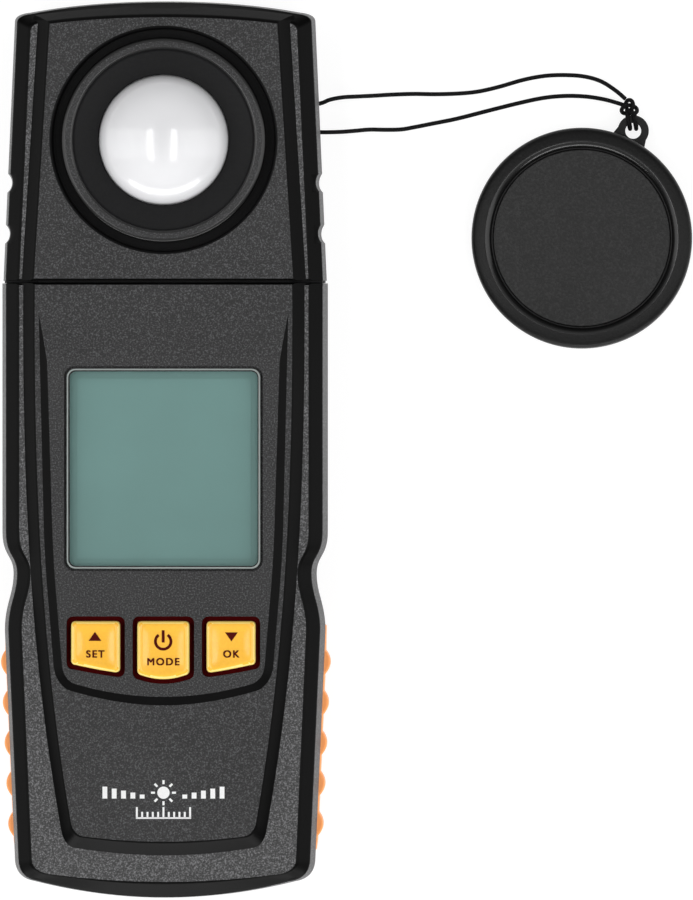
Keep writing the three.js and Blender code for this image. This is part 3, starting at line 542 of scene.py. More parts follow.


# Moulded plastics and rubbers: name, sRGB colour, roughness, width of the grain in mm, its
# strength, how much lighter its flecks and painted glints are, and gloss where it isn't 0.5.
MOULDED = {
    "grained": ("grained_black", (24, 24, 25), 0.46, 0.3, 1.0, 7.2, 0.42),
    "shoulder": ("grained_black_lower", (56, 56, 57), 0.46, 0.3, 1.0, 4.0),
    "satin": ("satin_black", (8, 8, 8), 0.32, 0.9, 0.05, 1.06, 0.07),
    "end": ("end_black", (8, 8, 8), 0.32, 0.9, 0.05, 1.06, 0.035),
    "edge": ("polished_edge", (16, 16, 16), 0.24, 0.9, 0.03, 1.06),
    # black for faces in shade, inside the shells, in the dome's groove and on the joint plate: painted
    # shade
    "inside": ("shade_black", (10, 10, 11), 0.6, 0.6, 0.1, 1.05, 0.15),
    "cone": ("cone_black", (22, 22, 23), 0.62, 0.5, 0.12, 1.1, 0.2),
    "grip": ("grip_orange", (255, 158, 66), 0.5, 0.4, 0.15, 1.04, 1.0),
    "key": ("key_yellow", (255, 190, 48), 0.24, 0.5, 0.05, 1.03, 0.6),
    # lighter yellow for the keys' rounded rims and sides: painted highlight
    "key_side_highlight": ("key_yellow_side_highlight", (255, 222, 120), 0.34, 0.5, 0.06, 1.03),
    "well": ("key_well", (104, 6, 8), 0.6, 0.5, 0.1, 1.1, 0.05),
    "ink": ("key_ink", (78, 14, 10), 0.6, 0.3, 0.1, 1.1, 0.05),
    "print": ("case_print", (236, 236, 236), 0.5, 0.25, 0.2, 1.04),
    # pale grey on the window's edge faces: painted highlight
    "lens_edge_highlight": ("lens_edge_highlight", (176, 184, 181), 0.3, 0.5, 0.05, 1.02),
    "cap": ("cap_grained", (19, 19, 19), 0.52, 0.4, 1.0, 2.6, 0.35),
    "cap_rim": ("cap_rim", (10, 10, 10), 0.42, 0.4, 0.4, 1.6, 0.2),
    "chip": ("chip_black", (28, 28, 30), 0.5, 0.2, 0.4, 1.2),
    "nylon": ("socket_nylon", (228, 222, 200), 0.45, 0.5, 0.1, 1.04),
    "silicone": ("grey_silicone", (150, 156, 160), 0.5, 0.6, 0.15, 1.05),
    "carbon": ("carbon_pill", (22, 22, 22), 0.85, 0.15, 0.6, 1.3),
    "guide": ("light_guide", (228, 236, 226), 0.3, 1.2, 0.05, 1.02),
    "filter": ("filter_green", (118, 168, 128), 0.12, 1.5, 0.03, 1.04),
    "silicon": ("silicon_blue", (36, 48, 82), 0.2, 0.8, 0.03, 1.2),
}


def moulded(name, rgb, roughness, grain, strength, fleck_glint, gloss=0.5):
    """Fine grain in the height; flecks with painted glints, and faint broad patches in the colour."""
    color = linear(*rgb)
    material, shader, tree = plain_material(name, color, roughness)
    fine = noise(tree, grain, 2.0, 0.6)
    # colour follows the grain's height: random tone, plus lighter crests and darker dips as painted
    # glints and shade
    stops = [(0.4, shade(color, 1 / fleck_glint)), (0.52, color), (0.66, shade(color, fleck_glint))]
    speckle_glint = ramp(tree, fine, stops)
    broad = noise(tree, 22.0, 3.0)
    mix = tree.nodes.new("ShaderNodeMix")
    mix.data_type = "RGBA"
    mix.blend_type = "MULTIPLY"
    mix.inputs["Factor"].default_value = 1.0
    tree.links.new(speckle_glint, mix.inputs[6])
    patches = [(0.35, (0.94, 0.94, 0.94, 1.0)), (0.65, (1, 1, 1, 1))]
    tree.links.new(ramp(tree, broad, patches), mix.inputs[7])
    tree.links.new(mix.outputs[2], shader.inputs["Base Color"])
    worn = span(tree, broad, 0.3, 0.7, roughness - 0.04, roughness + 0.04)
    tree.links.new(worn, shader.inputs["Roughness"])
    bump(tree, shader, fine, strength, grain * 0.35)
    shader.inputs["Specular IOR Level"].default_value = gloss
    return material


def glow(material, color, strength):
    shader = material.node_tree.nodes["Principled BSDF"]
    shader.inputs["Emission Color"].default_value = color
    shader.inputs["Emission Strength"].default_value = strength


def make_materials():
    m = {look: moulded(*row) for look, row in MOULDED.items()}
    glow(m["grip"], linear(255, 150, 90), 0.16)  # painted glow: emission that brightens the rubber in place of light falling on it
    m["lcd"] = lcd_material("lcd_area", linear(113, 155, 150))
    m["lcd_border"] = lcd_material("lcd_border", linear(107, 148, 143))
    m["lens"] = lens_material()
    m["dome"] = dome_material()
    m["cord"] = cord_material()
    m["board"] = board_material()
    m["steel"] = steel_material()
    m["cell"] = cell_material()
    return m


def lcd_material(name, color):
    """Display glass that is off: faint mottling and a fine cell grid in the height."""
    material, shader, tree = plain_material(name, color, 0.3)
    tint(tree, shader, noise(tree, 14.0), (0.3, shade(color, 0.96)), (0.7, shade(color, 1.03)))
    bump(tree, shader, noise(tree, 0.12, 1.0), 0.15, 0.02)
    return material


def lens_material():
    """Thin clear window, see-through from the front, with a little dust."""
    material, shader, tree = plain_material("window_clear", (0.06, 0.07, 0.07, 1.0), 0.04)
    shader.inputs["Alpha"].default_value = 0.08
    shader.inputs["IOR"].default_value = 1.49
    dust = span(tree, noise(tree, 1.6, 4.0, 0.7), 0.45, 0.8, 0.04, 0.16)
    tree.links.new(dust, shader.inputs["Roughness"])
    return material


def dome_material():
    """White opal plastic with a soft depth and a polished skin."""
    color = linear(230, 230, 232)
    material, shader, tree = plain_material("opal_white", color, 0.2)
    tint(tree, shader, noise(tree, 9.0), (0.35, shade(color, 0.985)), (0.65, color))
    shader.inputs["Subsurface Weight"].default_value = 0.25
    shader.inputs["Subsurface Radius"].default_value = (0.002, 0.002, 0.002)
    shader.inputs["Coat Weight"].default_value = 0.6
    shader.inputs["Coat Roughness"].default_value = 0.08
    bump(tree, shader, noise(tree, 1.1), 0.04, 0.05)
    return material


def cord_material():
    """Braided cord: crossed diagonal ridges along the run, lighter on them and darker between them as
    painted highlight and shade.
    """
    color = linear(9, 9, 10)
    material, shader, tree = plain_material("braided_cord", color, 0.7)
    ridges = []
    for angle in (38, -38):
        mapping = tree.nodes.new("ShaderNodeMapping")
        mapping.inputs["Rotation"].default_value = (0, math.radians(35), math.radians(angle))
        wave = tree.nodes.new("ShaderNodeTexWave")
        wave.inputs["Scale"].default_value = 640
        tree.links.new(coordinates(tree), mapping.inputs["Vector"])
        tree.links.new(mapping.outputs["Vector"], wave.inputs["Vector"])
        ridges.append(wave.outputs["Fac"])
    highest = tree.nodes.new("ShaderNodeMath")
    highest.operation = "MAXIMUM"
    tree.links.new(ridges[0], highest.inputs[0])
    tree.links.new(ridges[1], highest.inputs[1])
    bump(tree, shader, highest.outputs[0], 0.8, 0.08)
    # colour by ridge height: painted highlight on the crests and painted shade between them
    tint(tree, shader, highest.outputs[0], (0.2, shade(color, 0.5)), (0.9, shade(color, 1.6)))
    shader.inputs["Specular IOR Level"].default_value = 0.15
    return material


def board_material():
    """Solder mask with copper runs faintly showing through it."""
    color = linear(28, 104, 58)
    material, shader, tree = plain_material("solder_mask", color, 0.32)
    cells = tree.nodes.new("ShaderNodeTexVoronoi")
    cells.distance = "MANHATTAN"
    cells.feature = "DISTANCE_TO_EDGE"
    cells.inputs["Scale"].default_value = 420
    tree.links.new(coordinates(tree), cells.inputs["Vector"])
    tint(tree, shader, cells.outputs["Distance"], (0.06, shade(color, 1.7)), (0.12, color))
    bump(tree, shader, cells.outputs["Distance"], 0.15, 0.05)
    return material


def steel_material():
    """Bright plating with faint drawing marks."""
    color = linear(198, 200, 204)
    material, shader, tree = plain_material("plated_steel", color, 0.26)
    shader.inputs["Metallic"].default_value = 1.0
    marks = noise(tree, 0.8, 4.0, 0.7)
    tree.links.new(span(tree, marks, 0.3, 0.7, 0.18, 0.36), shader.inputs["Roughness"])
    bump(tree, shader, marks, 0.08, 0.03)
    return material


def cell_material():
    """Printed jacket of a cell: a plain blue band along most of it and a pale band at one end."""
    blue = linear(52, 84, 150)
    material, shader, tree = plain_material("cell_jacket", blue, 0.28)
    split = tree.nodes.new("ShaderNodeSeparateXYZ")
    tree.links.new(coordinates(tree), split.inputs["Vector"])
    along = span(tree, split.outputs["Y"], -0.0774, -0.0329, 0.0, 1.0)
    silver = linear(196, 198, 202)
    tint(tree, shader, along, (0.24, silver), (0.25, blue), (0.96, blue), (0.97, silver))
    shader.inputs["Coat Weight"].default_value = 0.5
    bump(tree, shader, noise(tree, 2.0, 3.0), 0.05, 0.05)
    return material


# ---- lanyard ----
CORD_DIAMETER = 0.8
# Each strand runs from its hole in the head's side, down to the floor and along it to the knot.
UPPER_ROUTE = [
    (29.0, 65.2, 9.0), (29.8, 65.45, 9.0), (31.0, 65.95, 8.9), (33.3, 66.4, 8.0),
    (36.0, 66.6, 6.0), (39.0, 66.8, 3.4), (42.4, 67.05, 1.3), (46.5, 67.2, 0.55),
    (50.5, 67.15, 0.5), (54.6, 67.25, 0.5), (58.5, 67.6, 0.5), (62.6, 68.5, 0.5),
    (67.3, 69.85, 0.5), (71.4, 70.6, 0.5), (75.4, 70.75, 0.5), (79.0, 70.45, 0.6),
    (82.1, 69.5, 1.2), (84.8, 67.75, 2.3), (86.6, 66.2, 2.9),
]
LOWER_ROUTE = [
    (29.0, 59.8, 9.0), (30.7, 59.8, 9.0), (33.3, 59.9, 8.0), (35.9, 60.15, 6.1),
    (38.4, 60.4, 3.9), (41.4, 60.4, 1.7), (44.3, 60.5, 0.6), (46.9, 60.95, 0.5),
    (50.2, 61.6, 0.5), (54.7, 62.5, 0.5), (60.6, 64.0, 0.5), (66.0, 65.35, 0.5),
    (70.9, 66.4, 0.5), (75.0, 66.8, 0.5), (79.0, 66.7, 0.65), (82.5, 66.15, 1.4),
    (85.2, 65.4, 2.4), (86.6, 64.9, 2.6),
]
UPPER_LENGTH = 0.0622  # metres
LOWER_LENGTH = 0.0611
# The cord goes from the knot down through the hole in the cap's lug, round under the lug and back.
LUG_LOOP = [
    (86.9, 64.4, 2.9), (86.95, 63.3, 3.7), (87.1, 62.3, 4.0), (87.3, 61.25, 3.85),
    (87.45, 60.65, 3.1), (87.5, 60.55, 2.2), (87.5, 60.95, 1.3), (87.3, 62.1, 1.0),
    (87.2, 63.2, 1.1), (87.7, 63.7, 1.2), (88.3, 63.2, 1.1), (88.6, 62.1, 1.0),
    (88.65, 60.95, 1.3), (88.65, 60.55, 2.2), (88.6, 60.65, 3.1), (88.5, 61.25, 3.85),
    (88.3, 62.3, 4.0), (88.0, 63.3, 3.7), (87.7, 64.4, 2.9),
]
KNOT_CENTRE = (87.35, 64.5, 3.0)


def catmull(points, per_span):
    """Points on a smooth curve through the given ones."""
    vectors = [Vector(p) for p in points]
    padded = [2 * vectors[0] - vectors[1]] + vectors + [2 * vectors[-1] - vectors[-2]]
    result = []
    for i in range(1, len(padded) - 2):
        p0, p1, p2, p3 = padded[i - 1 : i + 3]
        for step in range(per_span):
            t = step / per_span
            square = (2 * p0 - 5 * p1 + 4 * p2 - p3) * t * t
            cube = (3 * p1 - p0 - 3 * p2 + p3) * t**3
            result.append(0.5 * (2 * p1 + (p2 - p0) * t + square + cube))
    result.append(vectors[-1])
    return result


def tube(name, centres, radius, sides=12):
    """A round tube along a run of points, closed at both ends."""
    points = []
    normal = Vector((0, 0, 1))
    for i, centre in enumerate(centres):
        ahead = centres[min(i + 1, len(centres) - 1)] - centres[max(i - 1, 0)]
        tangent = ahead.normalized()
        normal = (normal - normal.dot(tangent) * tangent).normalized()
        side = tangent.cross(normal)
        for k in range(sides):
            a = 2 * math.pi * k / sides
            points.append(centre + radius * (math.cos(a) * normal + math.sin(a) * side))
    obj = outward(to_object(name, points, skin(len(centres), sides)))
    shade_round(obj)
    return obj


def make_knot(m):
    """Overhand knot just outside the cap's lug, and the doubled loop through the lug's hole."""
    radius = CORD_DIAMETER / 2
    loop = tube("lanyard_hitch", catmull(LUG_LOOP, 6), radius)
    centre = Vector(KNOT_CENTRE)
    turns = []
    for i in range(97):
        a = 2 * math.pi * i / 96
        x = 0.53 * (math.sin(a) + 2 * math.sin(2 * a))
        y = 0.5 * (2 * math.cos(2 * a) - math.cos(a))
        turns.append(centre + Vector((x, y, -0.5 * math.sin(3 * a) - 0.4 * y)))
    knot = overlay(loop, tube("overhand", turns, radius))
    dress(knot, [m["cord"]])
    finished(knot, "case", "lanyard_cord", "lanyard_knot")
    return knot


def make_cords(m):
    knot = make_knot(m)
    routes = [
        ("lanyard_upper", UPPER_ROUTE, UPPER_LENGTH, "lanyard_upper_strand"),
        ("lanyard_lower", LOWER_ROUTE, LOWER_LENGTH, "lanyard_lower_strand"),
    ]
    for name, route, length, node in routes:
        centres = catmull(route, 5)
        cord = tube(name, centres, CORD_DIAMETER / 2)
        dress(cord, [m["cord"]])
        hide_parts(node)
        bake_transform(cord)


# ---- case ----
LENS = (-18.15, 18.15, -22.35, 15.15)
HUB_RADIUS = 5.75
PEG_REACH = 8.6  # from the joint's axis to the head's stop peg
SCREW_SHANK = 1.4  # radii of the holes for the screws
SCREW_HEAD = 2.6
STRAND_HOLES = (65.2, 59.8)  # along the head's side, for the lanyard
NOTCHES = (50.2, 40.6)  # thumb notches along the head's sides


def lens_ring(grow, radius):
    """The display window's outline, made larger or smaller all round."""
    x0, x1, y0, y1 = LENS
    return rounded(x0 - grow, x1 + grow, y0 - grow, y1 + grow, radius)


def hub_hole():
    return along_y(0, AXIS_Z, CASE_TOP - 4, HEAD_BOTTOM + 4, HUB_RADIUS, 48)


def stop_track():
    """Arc-shaped track in the end of the case for the head's stop peg."""
    ring = ring_arc(0, 0, 9.5, 7.7, -51.7, 231.7, 60)
    return laid_along_y("track", ring, 0, AXIS_Z, CASE_TOP - 1.1, CASE_TOP + 2.9)


FRONT_LOOKS = ("grained", "satin", "inside", "shoulder", "end")


def front_pick(centre, normal):
    """Grained flats and side walls, satin slopes, the far end, and dull black as painted shade inside
    and in the dome's groove.
    """
    around_dome = math.hypot(centre.x, centre.y - SENSOR_Y)
    if centre.z < 23 and normal.z < -0.5:
        return 2
    if around_dome < 21.2 and centre.z < 23.4:
        return 2
    if normal.z < 0.4 and centre.z < 19:
        return 3
    if centre.y > 79.5 and normal.y > 0.3:
        return 4
    if normal.z > 0.975 and centre.z > SHOULDER_Z - 0.1:
        return 0 if centre.z > SHOULDER_Z + 0.1 else 3
    return 1


def finish_front(shell, m, body, node):
    dress(shell, [m[name] for name in FRONT_LOOKS], front_pick)
    smooth_shell(shell)
    finished(shell, body, "case_plastic", node)


def make_case_front(m):
    shell = stack(
        "case_front", case_ring, (0.12, 0.12, PART_Z + SEAM), (0, 0, PART_Z + 0.45),
        (0.8, 0.12, 18.6), (0.88, 0.2, 18.85), (1.03, 0.38, 19.05), (1.2, 0.6, 0.05, 19.2),
        (2.86, 2.5, 0.1, 1.9, 20.82), (3.06, 2.7, 0.2, 1.75, 21.0), (3.26, 2.9, 0.3, 1.65, 21.12),
        (3.5, 3.15, 0.4, 1.5, SHOULDER_Z), (4.1, 3.75, 0.6, 1.4, SHOULDER_Z),
    )
    deck = stack(
        "deck", deck_ring, (3.4, 20.1), (2.25, SHOULDER_Z + 0.02), (0.62, CASE_TOP - 0.05, 22.95),
        (0.42, CASE_TOP - 0.12, 23.2), (0.2, CASE_TOP - 0.22, 23.4),
        (0, CASE_TOP - 0.35, DECK_Z), (-0.4, CASE_TOP - 0.7, DECK_Z),
    )
    panel = stack(
        "panel", panel_ring, (2.05, 12.0, DECK_Z - 0.15), (0.5, 3.4, PANEL_Z - 0.22),
        (0.3, 2.2, PANEL_Z - 0.09), (0.1, 1.0, PANEL_Z - 0.02), (-0.1, 0, PANEL_Z),
        (-0.5, -0.4, PANEL_Z),
    )
    join(shell, deck, panel)
    cavity = stack(
        "cavity", case_ring, (WALL, WALL, WALL, PART_Z - 1), (2.6, 2.4, WALL, 16.2),
        (4.8, 4.2, WALL, SHOULDER_Z - WALL),
    )
    upper_cavity = stack(
        "upper_cavity", deck_ring,
        (0.4, CASE_TOP - WALL, SHOULDER_Z - WALL - 1), (-1.7, CASE_TOP - WALL, CEILING_Z),
    )
    recess = prism("recess", lens_ring(0.5, 2.0), 22.45, 30)
    opening = prism("opening", lens_ring(-0.5, 1.2), 15, 30)
    cut(shell, cavity, upper_cavity, recess, opening)
    cut(shell, *[prism("key_hole", key_ring(key, 0.88, 1.4), CEILING_Z - 1, 30) for key in KEYS])
    join(shell, *posts(CASE_SCREWS, PART_Z + SEAM, 19.1, 2.9))
    cut(shell, *posts(CASE_SCREWS, PART_Z - 1, 18, SCREW_SHANK))
    cut(shell, hub_hole(), stop_track())
    finish_front(shell, m, "case", "body_front_shell")


def rear_body(name, ring):
    """Solid of a rear shell, rounded at its back, for the case or the head."""
    return stack(
        name, ring, (3.6, 3.2, 0), (2.75, 2.4, 0.22), (2.0, 1.75, 0.8), (1.45, 1.25, 1.7),
        (1.1, 0.9, 3.0), (0.12, 0.12, 12.4), (0.3, 0.3, PART_Z - SEAM),
    )


def rear_cavity(ring):
    return stack(
        "rear_cavity", ring,
        (4.4, 4.2, WALL, FLOOR), (3.1, 2.8, WALL, 4.2), (2.1, 2.1, WALL, PART_Z + 1),
    )


def screw_holes(shell, places):
    """Through holes in a rear shell, wider at the back for the screws' heads."""
    for x, y in places:
        cut(shell, post(x, y, -1, PART_Z + 1, SCREW_SHANK), post(x, y, -1, 4.2, SCREW_HEAD))


def rear_pick(centre, normal):
    """Dull black as painted shade on faces that look up, grained everywhere else."""
    return 1 if normal.z > 0.5 else 0


def finish_rear(shell, m, body, node):
    dress(shell, [m["shoulder"], m["inside"]], rear_pick)
    smooth_shell(shell, 32)
    finished(shell, body, "case_plastic", node)


DOOR_HALF = 17.7
DOOR_TOP_Y = -26.4
DOOR_Z = 1.9


def door_space(gap):
    side = DOOR_HALF + gap
    plate = box("door", -side, side, -HALF_LENGTH - 1, DOOR_TOP_Y + gap, -1, DOOR_Z + gap)
    tongue = box(
        "tongue", -side - 1.1, side + 1.1, -HALF_LENGTH - 1, DOOR_TOP_Y - 3 + gap,
        0.95 - gap / 2, 1.45 + gap / 2,
    )
    return join(plate, tongue)


def grip_side(y):
    """Half-width of the case beside the grips."""
    return HALF_WIDTH - 0.45 - ((-34 - y) * 1.9) / 43


def grip_ring(sign, gap, ridged):
    """Plan outline of a grip, or with no ridges of the pocket it sits in."""
    top = -33.0 + gap
    bottom = -75.6 - gap
    reach = 0 if ridged else 3
    proud = 0.15
    ring = [(grip_side(bottom) - 1.1 - gap, bottom), (grip_side(bottom) + reach, bottom)]
    if ridged:
        for i in reversed(range(5)):
            y = -40.1 - 7.62 * i
            low = (grip_side(y - 2.3) + proud, y - 2.3)
            high = (grip_side(y + 2.3) + proud, y + 2.3)
            ring.append((low[0], y - 2.8))
            ring += quad(low, (grip_side(y) + 2.0, y), high, 14)
            ring.append(high)
    ring += [(grip_side(top) + reach, top), (grip_side(top) - 1.1 - gap, top)]
    return [(sign * x, y) for x, y in ring]


def make_case_rear(m):
    shell = rear_body("case_rear", case_ring)
    cut(shell, rear_cavity(case_ring))
    well = box("well", -18.15, 18.15, -79.65, -27.75, FLOOR - 0.5, 14.7)
    join(shell, well, *posts(CASE_SCREWS, FLOOR - 0.5, PART_Z - SEAM, 3.4))
    cut(shell, box("bay", -17.3, 17.3, -78.8, -28.6, -1, 13.85))
    screw_holes(shell, CASE_SCREWS)
    cut(shell, hub_hole(), stop_track(), door_space(0.25))
    for sign in (-1, 1):
        cut(shell, prism("pocket", grip_ring(sign, 0.2, False), 3.0, 11.8))
    finish_rear(shell, m, "case", "body_rear_shell")
    door = rear_body("battery_door_leaf", case_ring)
    boolean(door, [door_space(0)], "INTERSECT")
    ridges = [box("ridge", -7, 7, y, y + 0.8, -1, 0.4) for y in (-38.2, -36.4, -34.6, -32.8)]
    arrow = prism("arrow", [(-3.2, -42.4), (3.2, -42.4), (0, -46.4)], -1, 0.35)
    cut(door, *ridges, arrow)
    finish_rear(door, m, "door", "battery_door")


def make_grips(m):
    for sign, name in ((-1, "left"), (1, "right")):
        grip = prism(f"{name}_grip_rubber", grip_ring(sign, 0, True), 3.2, 11.6)
        dress(grip, [m["grip"]])
        smooth(grip, 0.35, 3, 40)
        finished(grip, "case", "grip_rubber", f"{name}_grip")


# ---- display ----
def make_display(m):
    lens = stack("window", lens_ring, (0, 1.6, 22.7), (0, 1.6, 23.9), (-0.28, 1.4, 24.15))
    # the faces front and back are clear; the edge faces are pale grey as painted highlight
    dress(lens, [m["lens"], m["lens_edge_highlight"]], lambda c, n: 0 if abs(n.z) > 0.95 else 1)
    finished(lens, "case", "clear_lens", "display_lens")
    border = prism("lcd", rounded(-17.95, 17.95, -22.15, 14.95, 0.4, 2), 19.2, 21.3)
    area = prism("lcd_area", rounded(-16.35, 16.35, -20.5, 13.3, 0.25, 2), 20.8, 21.4)
    overlay(border, area)
    dress(border, [m["lcd"], m["lcd_border"]], lambda c, n: 0 if c.z > 21.35 else 1)
    finished(border, "case", "lcd_glass", "lcd_glass")


# ---- keys ----
def glyph(points, z):
    """A flat printed shape, just proud of the surface under it."""
    return prism("glyph", points, z - 0.05, z + 0.03)


def word(text, x, y, z, size):
    """Flat lettering, centred on x, as a mesh."""
    data = bpy.data.curves.new("word", "FONT")
    data.body = text
    data.align_x = "CENTER"
    data.size = size / 1000
    data.space_character = 1.25
    data.extrude = 0.00003
    carrier = placed("word", data)
    bpy.context.view_layer.update()
    graph = bpy.context.evaluated_depsgraph_get()
    mesh = bpy.data.meshes.new_from_object(carrier.evaluated_get(graph))
    bpy.data.objects.remove(carrier)
    for v in mesh.vertices:
        v.co += Vector((x / 1000, y / 1000, z / 1000))
    return placed("word", mesh)


def bold_word(text, x, y, z, size):
    """Lettering with its strokes thickened by four copies set a little apart."""
    copies = [
        word(text, x + dx, y + dy, z + 0.004 * i, size)
        for i, (dx, dy) in enumerate([(-0.06, -0.04), (0.06, -0.04), (0.06, 0.04), (-0.06, 0.04)])
    ]
    return overlay(*copies)


KEY_FACE_Z = 25.2
KEY_PRINT_Z = KEY_FACE_Z - 0.1
# From the rounded rim of a key to the shallow dish of its face: inset and drop.
KEY_DISH = [
    (0.0, 0.75), (0.07, 0.45), (0.24, 0.18), (0.5, 0.04), (0.85, 0.0), (1.1, 0.02), (1.5, 0.065),
    (1.9, 0.11), (2.3, 0.14), (2.7, 0.15),
]


def make_keys(m):
    z = KEY_PRINT_Z
    marks = {
        "set_key": [
            glyph([(-14.0, -35.9), (-11.6, -35.9), (-12.8, -34.2)], z),
            bold_word("SET", -12.75, -39.0, z, 1.9),
        ],
        "power_key": [
            glyph(ring_arc(0, -36.0, 1.72, 1.2, -235, 55), z),
            glyph(rectangle(-0.27, 0.27, -36.2, -33.9), z),
            bold_word("MODE", 0, -40.45, z, 1.9),
        ],
        "enter_key": [
            glyph([(11.6, -34.3), (12.8, -36.0), (14.0, -34.3)], z),
            bold_word("OK", 12.75, -39.0, z, 1.9),
        ],
    }
    for key, body in KEY_BODIES.items():
        levels = [(key_ring(key, 0.0), 20.9)]
        levels += [(key_ring(key, -inset), KEY_FACE_Z - drop) for inset, drop in KEY_DISH]
        pad = loft(f"{key}_pad", levels)
        # flat and dished faces take the key yellow; the rims and sides take a lighter yellow as
        # painted highlight
        dress(pad, [m["key"], m["key_side_highlight"]], lambda c, n: 0 if n.z > 0.9 else 1)
        shade_round(pad)
        flange = prism("flange", key_ring(key, 1.45, 1.3), 19.9, 21.1)
        x0, x1, y0, y1, _ = KEYS[key]
        plunger = post((x0 + x1) / 2, (KEY_TOP_Y + (y0 + y1) / 2) / 2, 18.2, 20, 2.9)
        base = join(flange, plunger)
        base.name = f"{key}_base"
        dress(base, [m["well"]])
        smooth(base, 0.12)
        print_on = overlay(*marks[key])
        print_on.name = f"{key}_print"
        dress(print_on, [m["ink"]])
        finished(pad, body, "key_rubber", key)
        finished(base, body, "key_rubber")
        finished(print_on, body, "key_rubber")


def make_case_print(m):
    """A generic mark in white: a small sun over a scale of bars that grow."""
    z = DECK_Z
    sun_y = -64.4

    def bar(x, low, width, height):
        pieces.append(glyph(rectangle(x - width / 2, x + width / 2, low, low + height), z))

    pieces = [glyph(circle(0, sun_y, 1.15), z)]
    for i in range(8):
        ray = turned(rectangle(1.6, 2.35, -0.2, 0.2), 2 * math.pi * i / 8, 0, sun_y)
        pieces.append(glyph(ray, z))
    for sign in (-1, 1):
        for i in range(5):
            bar(sign * (4.0 + 1.75 * i), sun_y - 1.1, 0.9, 0.75 + 0.37 * i)
    for i in range(11):
        bar(-5.0 + i, -69.1, 0.36, 2.0 if i % 5 == 0 else 1.1)
    bar(0, -69.3, 10.36, 0.3)
    mark = overlay(*pieces)
    mark.name = "case_mark"
    dress(mark, [m["print"]])
    finished(mark, "case", "case_plastic")


# ---- head ----
def notches():
    """Upright thumb notches in the sides of the head, flaring where they meet the sloped edge."""
    tools = []
    levels = [(2.3, -1), (2.3, 13.2), (2.65, 18.6), (3.0, 19.2), (3.9, 20.1)]
    for y in NOTCHES:
        half = HEAD_HALF_BOTTOM - HEAD_TAPER * (y - HEAD_BOTTOM)
        for sign in (-1, 1):
            x = sign * (half + 1.5)
            tools.append(loft("notch", [(circle(x, y, radius, 40), z) for radius, z in levels]))
    return tools


GROOVE = [
    (0, 19.9), (20.8, 19.9), (21.0, 23.1), (21.08, 23.3), (21.24, 23.44), (21.45, 23.5),
    (21.45, 30), (0, 30),
]


def make_head_front(m):
    shell = stack(
        "head_front", head_ring, (0.12, 0.12, PART_Z + SEAM), (0, 0, PART_Z + 0.45), (0.55, 0.3, 18.6),
        (0.63, 0.36, 18.85), (0.78, 0.46, 19.05), (0.95, 0.6, 0.03, 19.2), (2.65, 1.5, 0.06, 20.82),
        (2.85, 1.62, 0.12, 21.0), (3.05, 1.75, 0.2, 21.12), (3.3, 1.92, 0.3, SHOULDER_Z),
        (3.8, 2.3, 0.5, SHOULDER_Z),
    )
    deck = stack(
        "head_deck", head_deck_ring, (3.6, 20.1), (2.32, SHOULDER_Z + 0.02), (0.62, 0.05, 22.95),
        (0.42, 0.12, 23.2), (0.2, 0.22, 23.4), (0, 0.35, DECK_Z), (-0.4, 0.7, DECK_Z),
    )
    end_slope = stack(
        "end_slope", head_ring, (-2, 0.3, -5, 18.4), (-2, 2.55, -5, 22.9), (-2, 2.75, -5, 23.2),
        (-2, 3.0, -5, 23.42), (-2, 3.3, -5, DECK_Z + 0.01), (-2, 3.6, -5, DECK_Z + 0.3),
    )
    boolean(deck, [end_slope], "INTERSECT")
    join(shell, deck)
    cavity = stack(
        "cavity", head_ring, (WALL, WALL, WALL, PART_Z - 1), (2.6, 2.4, WALL, 16), (4.8, 4.6, WALL, 18)
    )
    upper_cavity = stack(
        "upper_cavity", head_ring, (6.4, 4.6, WALL, 16.8), (8.2, 5.4, WALL, CEILING_Z)
    )
    cut(shell, cavity, upper_cavity)
    join(shell, post(0, SENSOR_Y, 18.1, 23.1, 22.45, 128))
    join(shell, *posts(HEAD_SCREWS, PART_Z + SEAM, 18.6, 2.8))
    at = math.pi / 4
    peg_x, peg_z = PEG_REACH * math.cos(at), AXIS_Z + PEG_REACH * math.sin(at)
    join(shell, along_y(peg_x, peg_z, 30.3, 32.2, 0.7))
    groove = lathe("groove", GROOVE, 0, SENSOR_Y, 128)
    cut(shell, groove, post(0, SENSOR_Y, 15, 23, 14.9, 96))
    cut(shell, *posts(HEAD_SCREWS, PART_Z - 1, 17.6, SCREW_SHANK))
    cut(shell, hub_hole(), *notches())
    finish_front(shell, m, "head", "head_front_shell")


def make_joint_plate(m):
    """Thin black plate on the end wall of the head that closes the gap at the joint: a dark sheet
    standing in for the shade in the gap, painted shade.
    """
    section = [
        (26.0, 1.0), (28.0, 2.2), (29.2, 4.0), (30.2, 12.5), (30.1, 16.6), (29.7, 18.6),
        (26.4, 20.0), (25.6, 20.2), (23.6, 21.6),
    ]
    ring = [(x, z - AXIS_Z) for x, z in section] + [(-x, z - AXIS_Z) for x, z in reversed(section)]
    plate = laid_along_y("joint_gap_shade", ring, 0, AXIS_Z, HEAD_BOTTOM - 0.4, HEAD_BOTTOM + 0.02)
    cut(plate, hub_hole())
    dress(plate, [m["inside"]])
    finished(plate, "head", "case_plastic")


def make_head_rear(m):
    shell = rear_body("head_rear", head_ring)
    cut(shell, rear_cavity(head_ring))
    join(shell, *posts(HEAD_SCREWS, FLOOR - 0.5, PART_Z - SEAM, 3.2))
    for degrees in (90, 210, 330):
        a = math.radians(degrees)
        join(shell, post(12 * math.cos(a), SENSOR_Y + 12 * math.sin(a), FLOOR - 0.5, 11.7, 2.2))
    for sign in (-1, 1):
        x0, x1 = sorted((sign * 7.8, sign * 9.3))
        join(shell, box("rib", x0, x1, 33.25, 36.3, FLOOR - 0.5, PART_Z - SEAM))
    screw_holes(shell, HEAD_SCREWS)
    cut(shell, *[along_x(25.6, 33.6, y, 9.0, 0.85) for y in STRAND_HOLES])
    cut(shell, hub_hole(), *notches())
    finish_rear(shell, m, "head", "head_rear_shell")


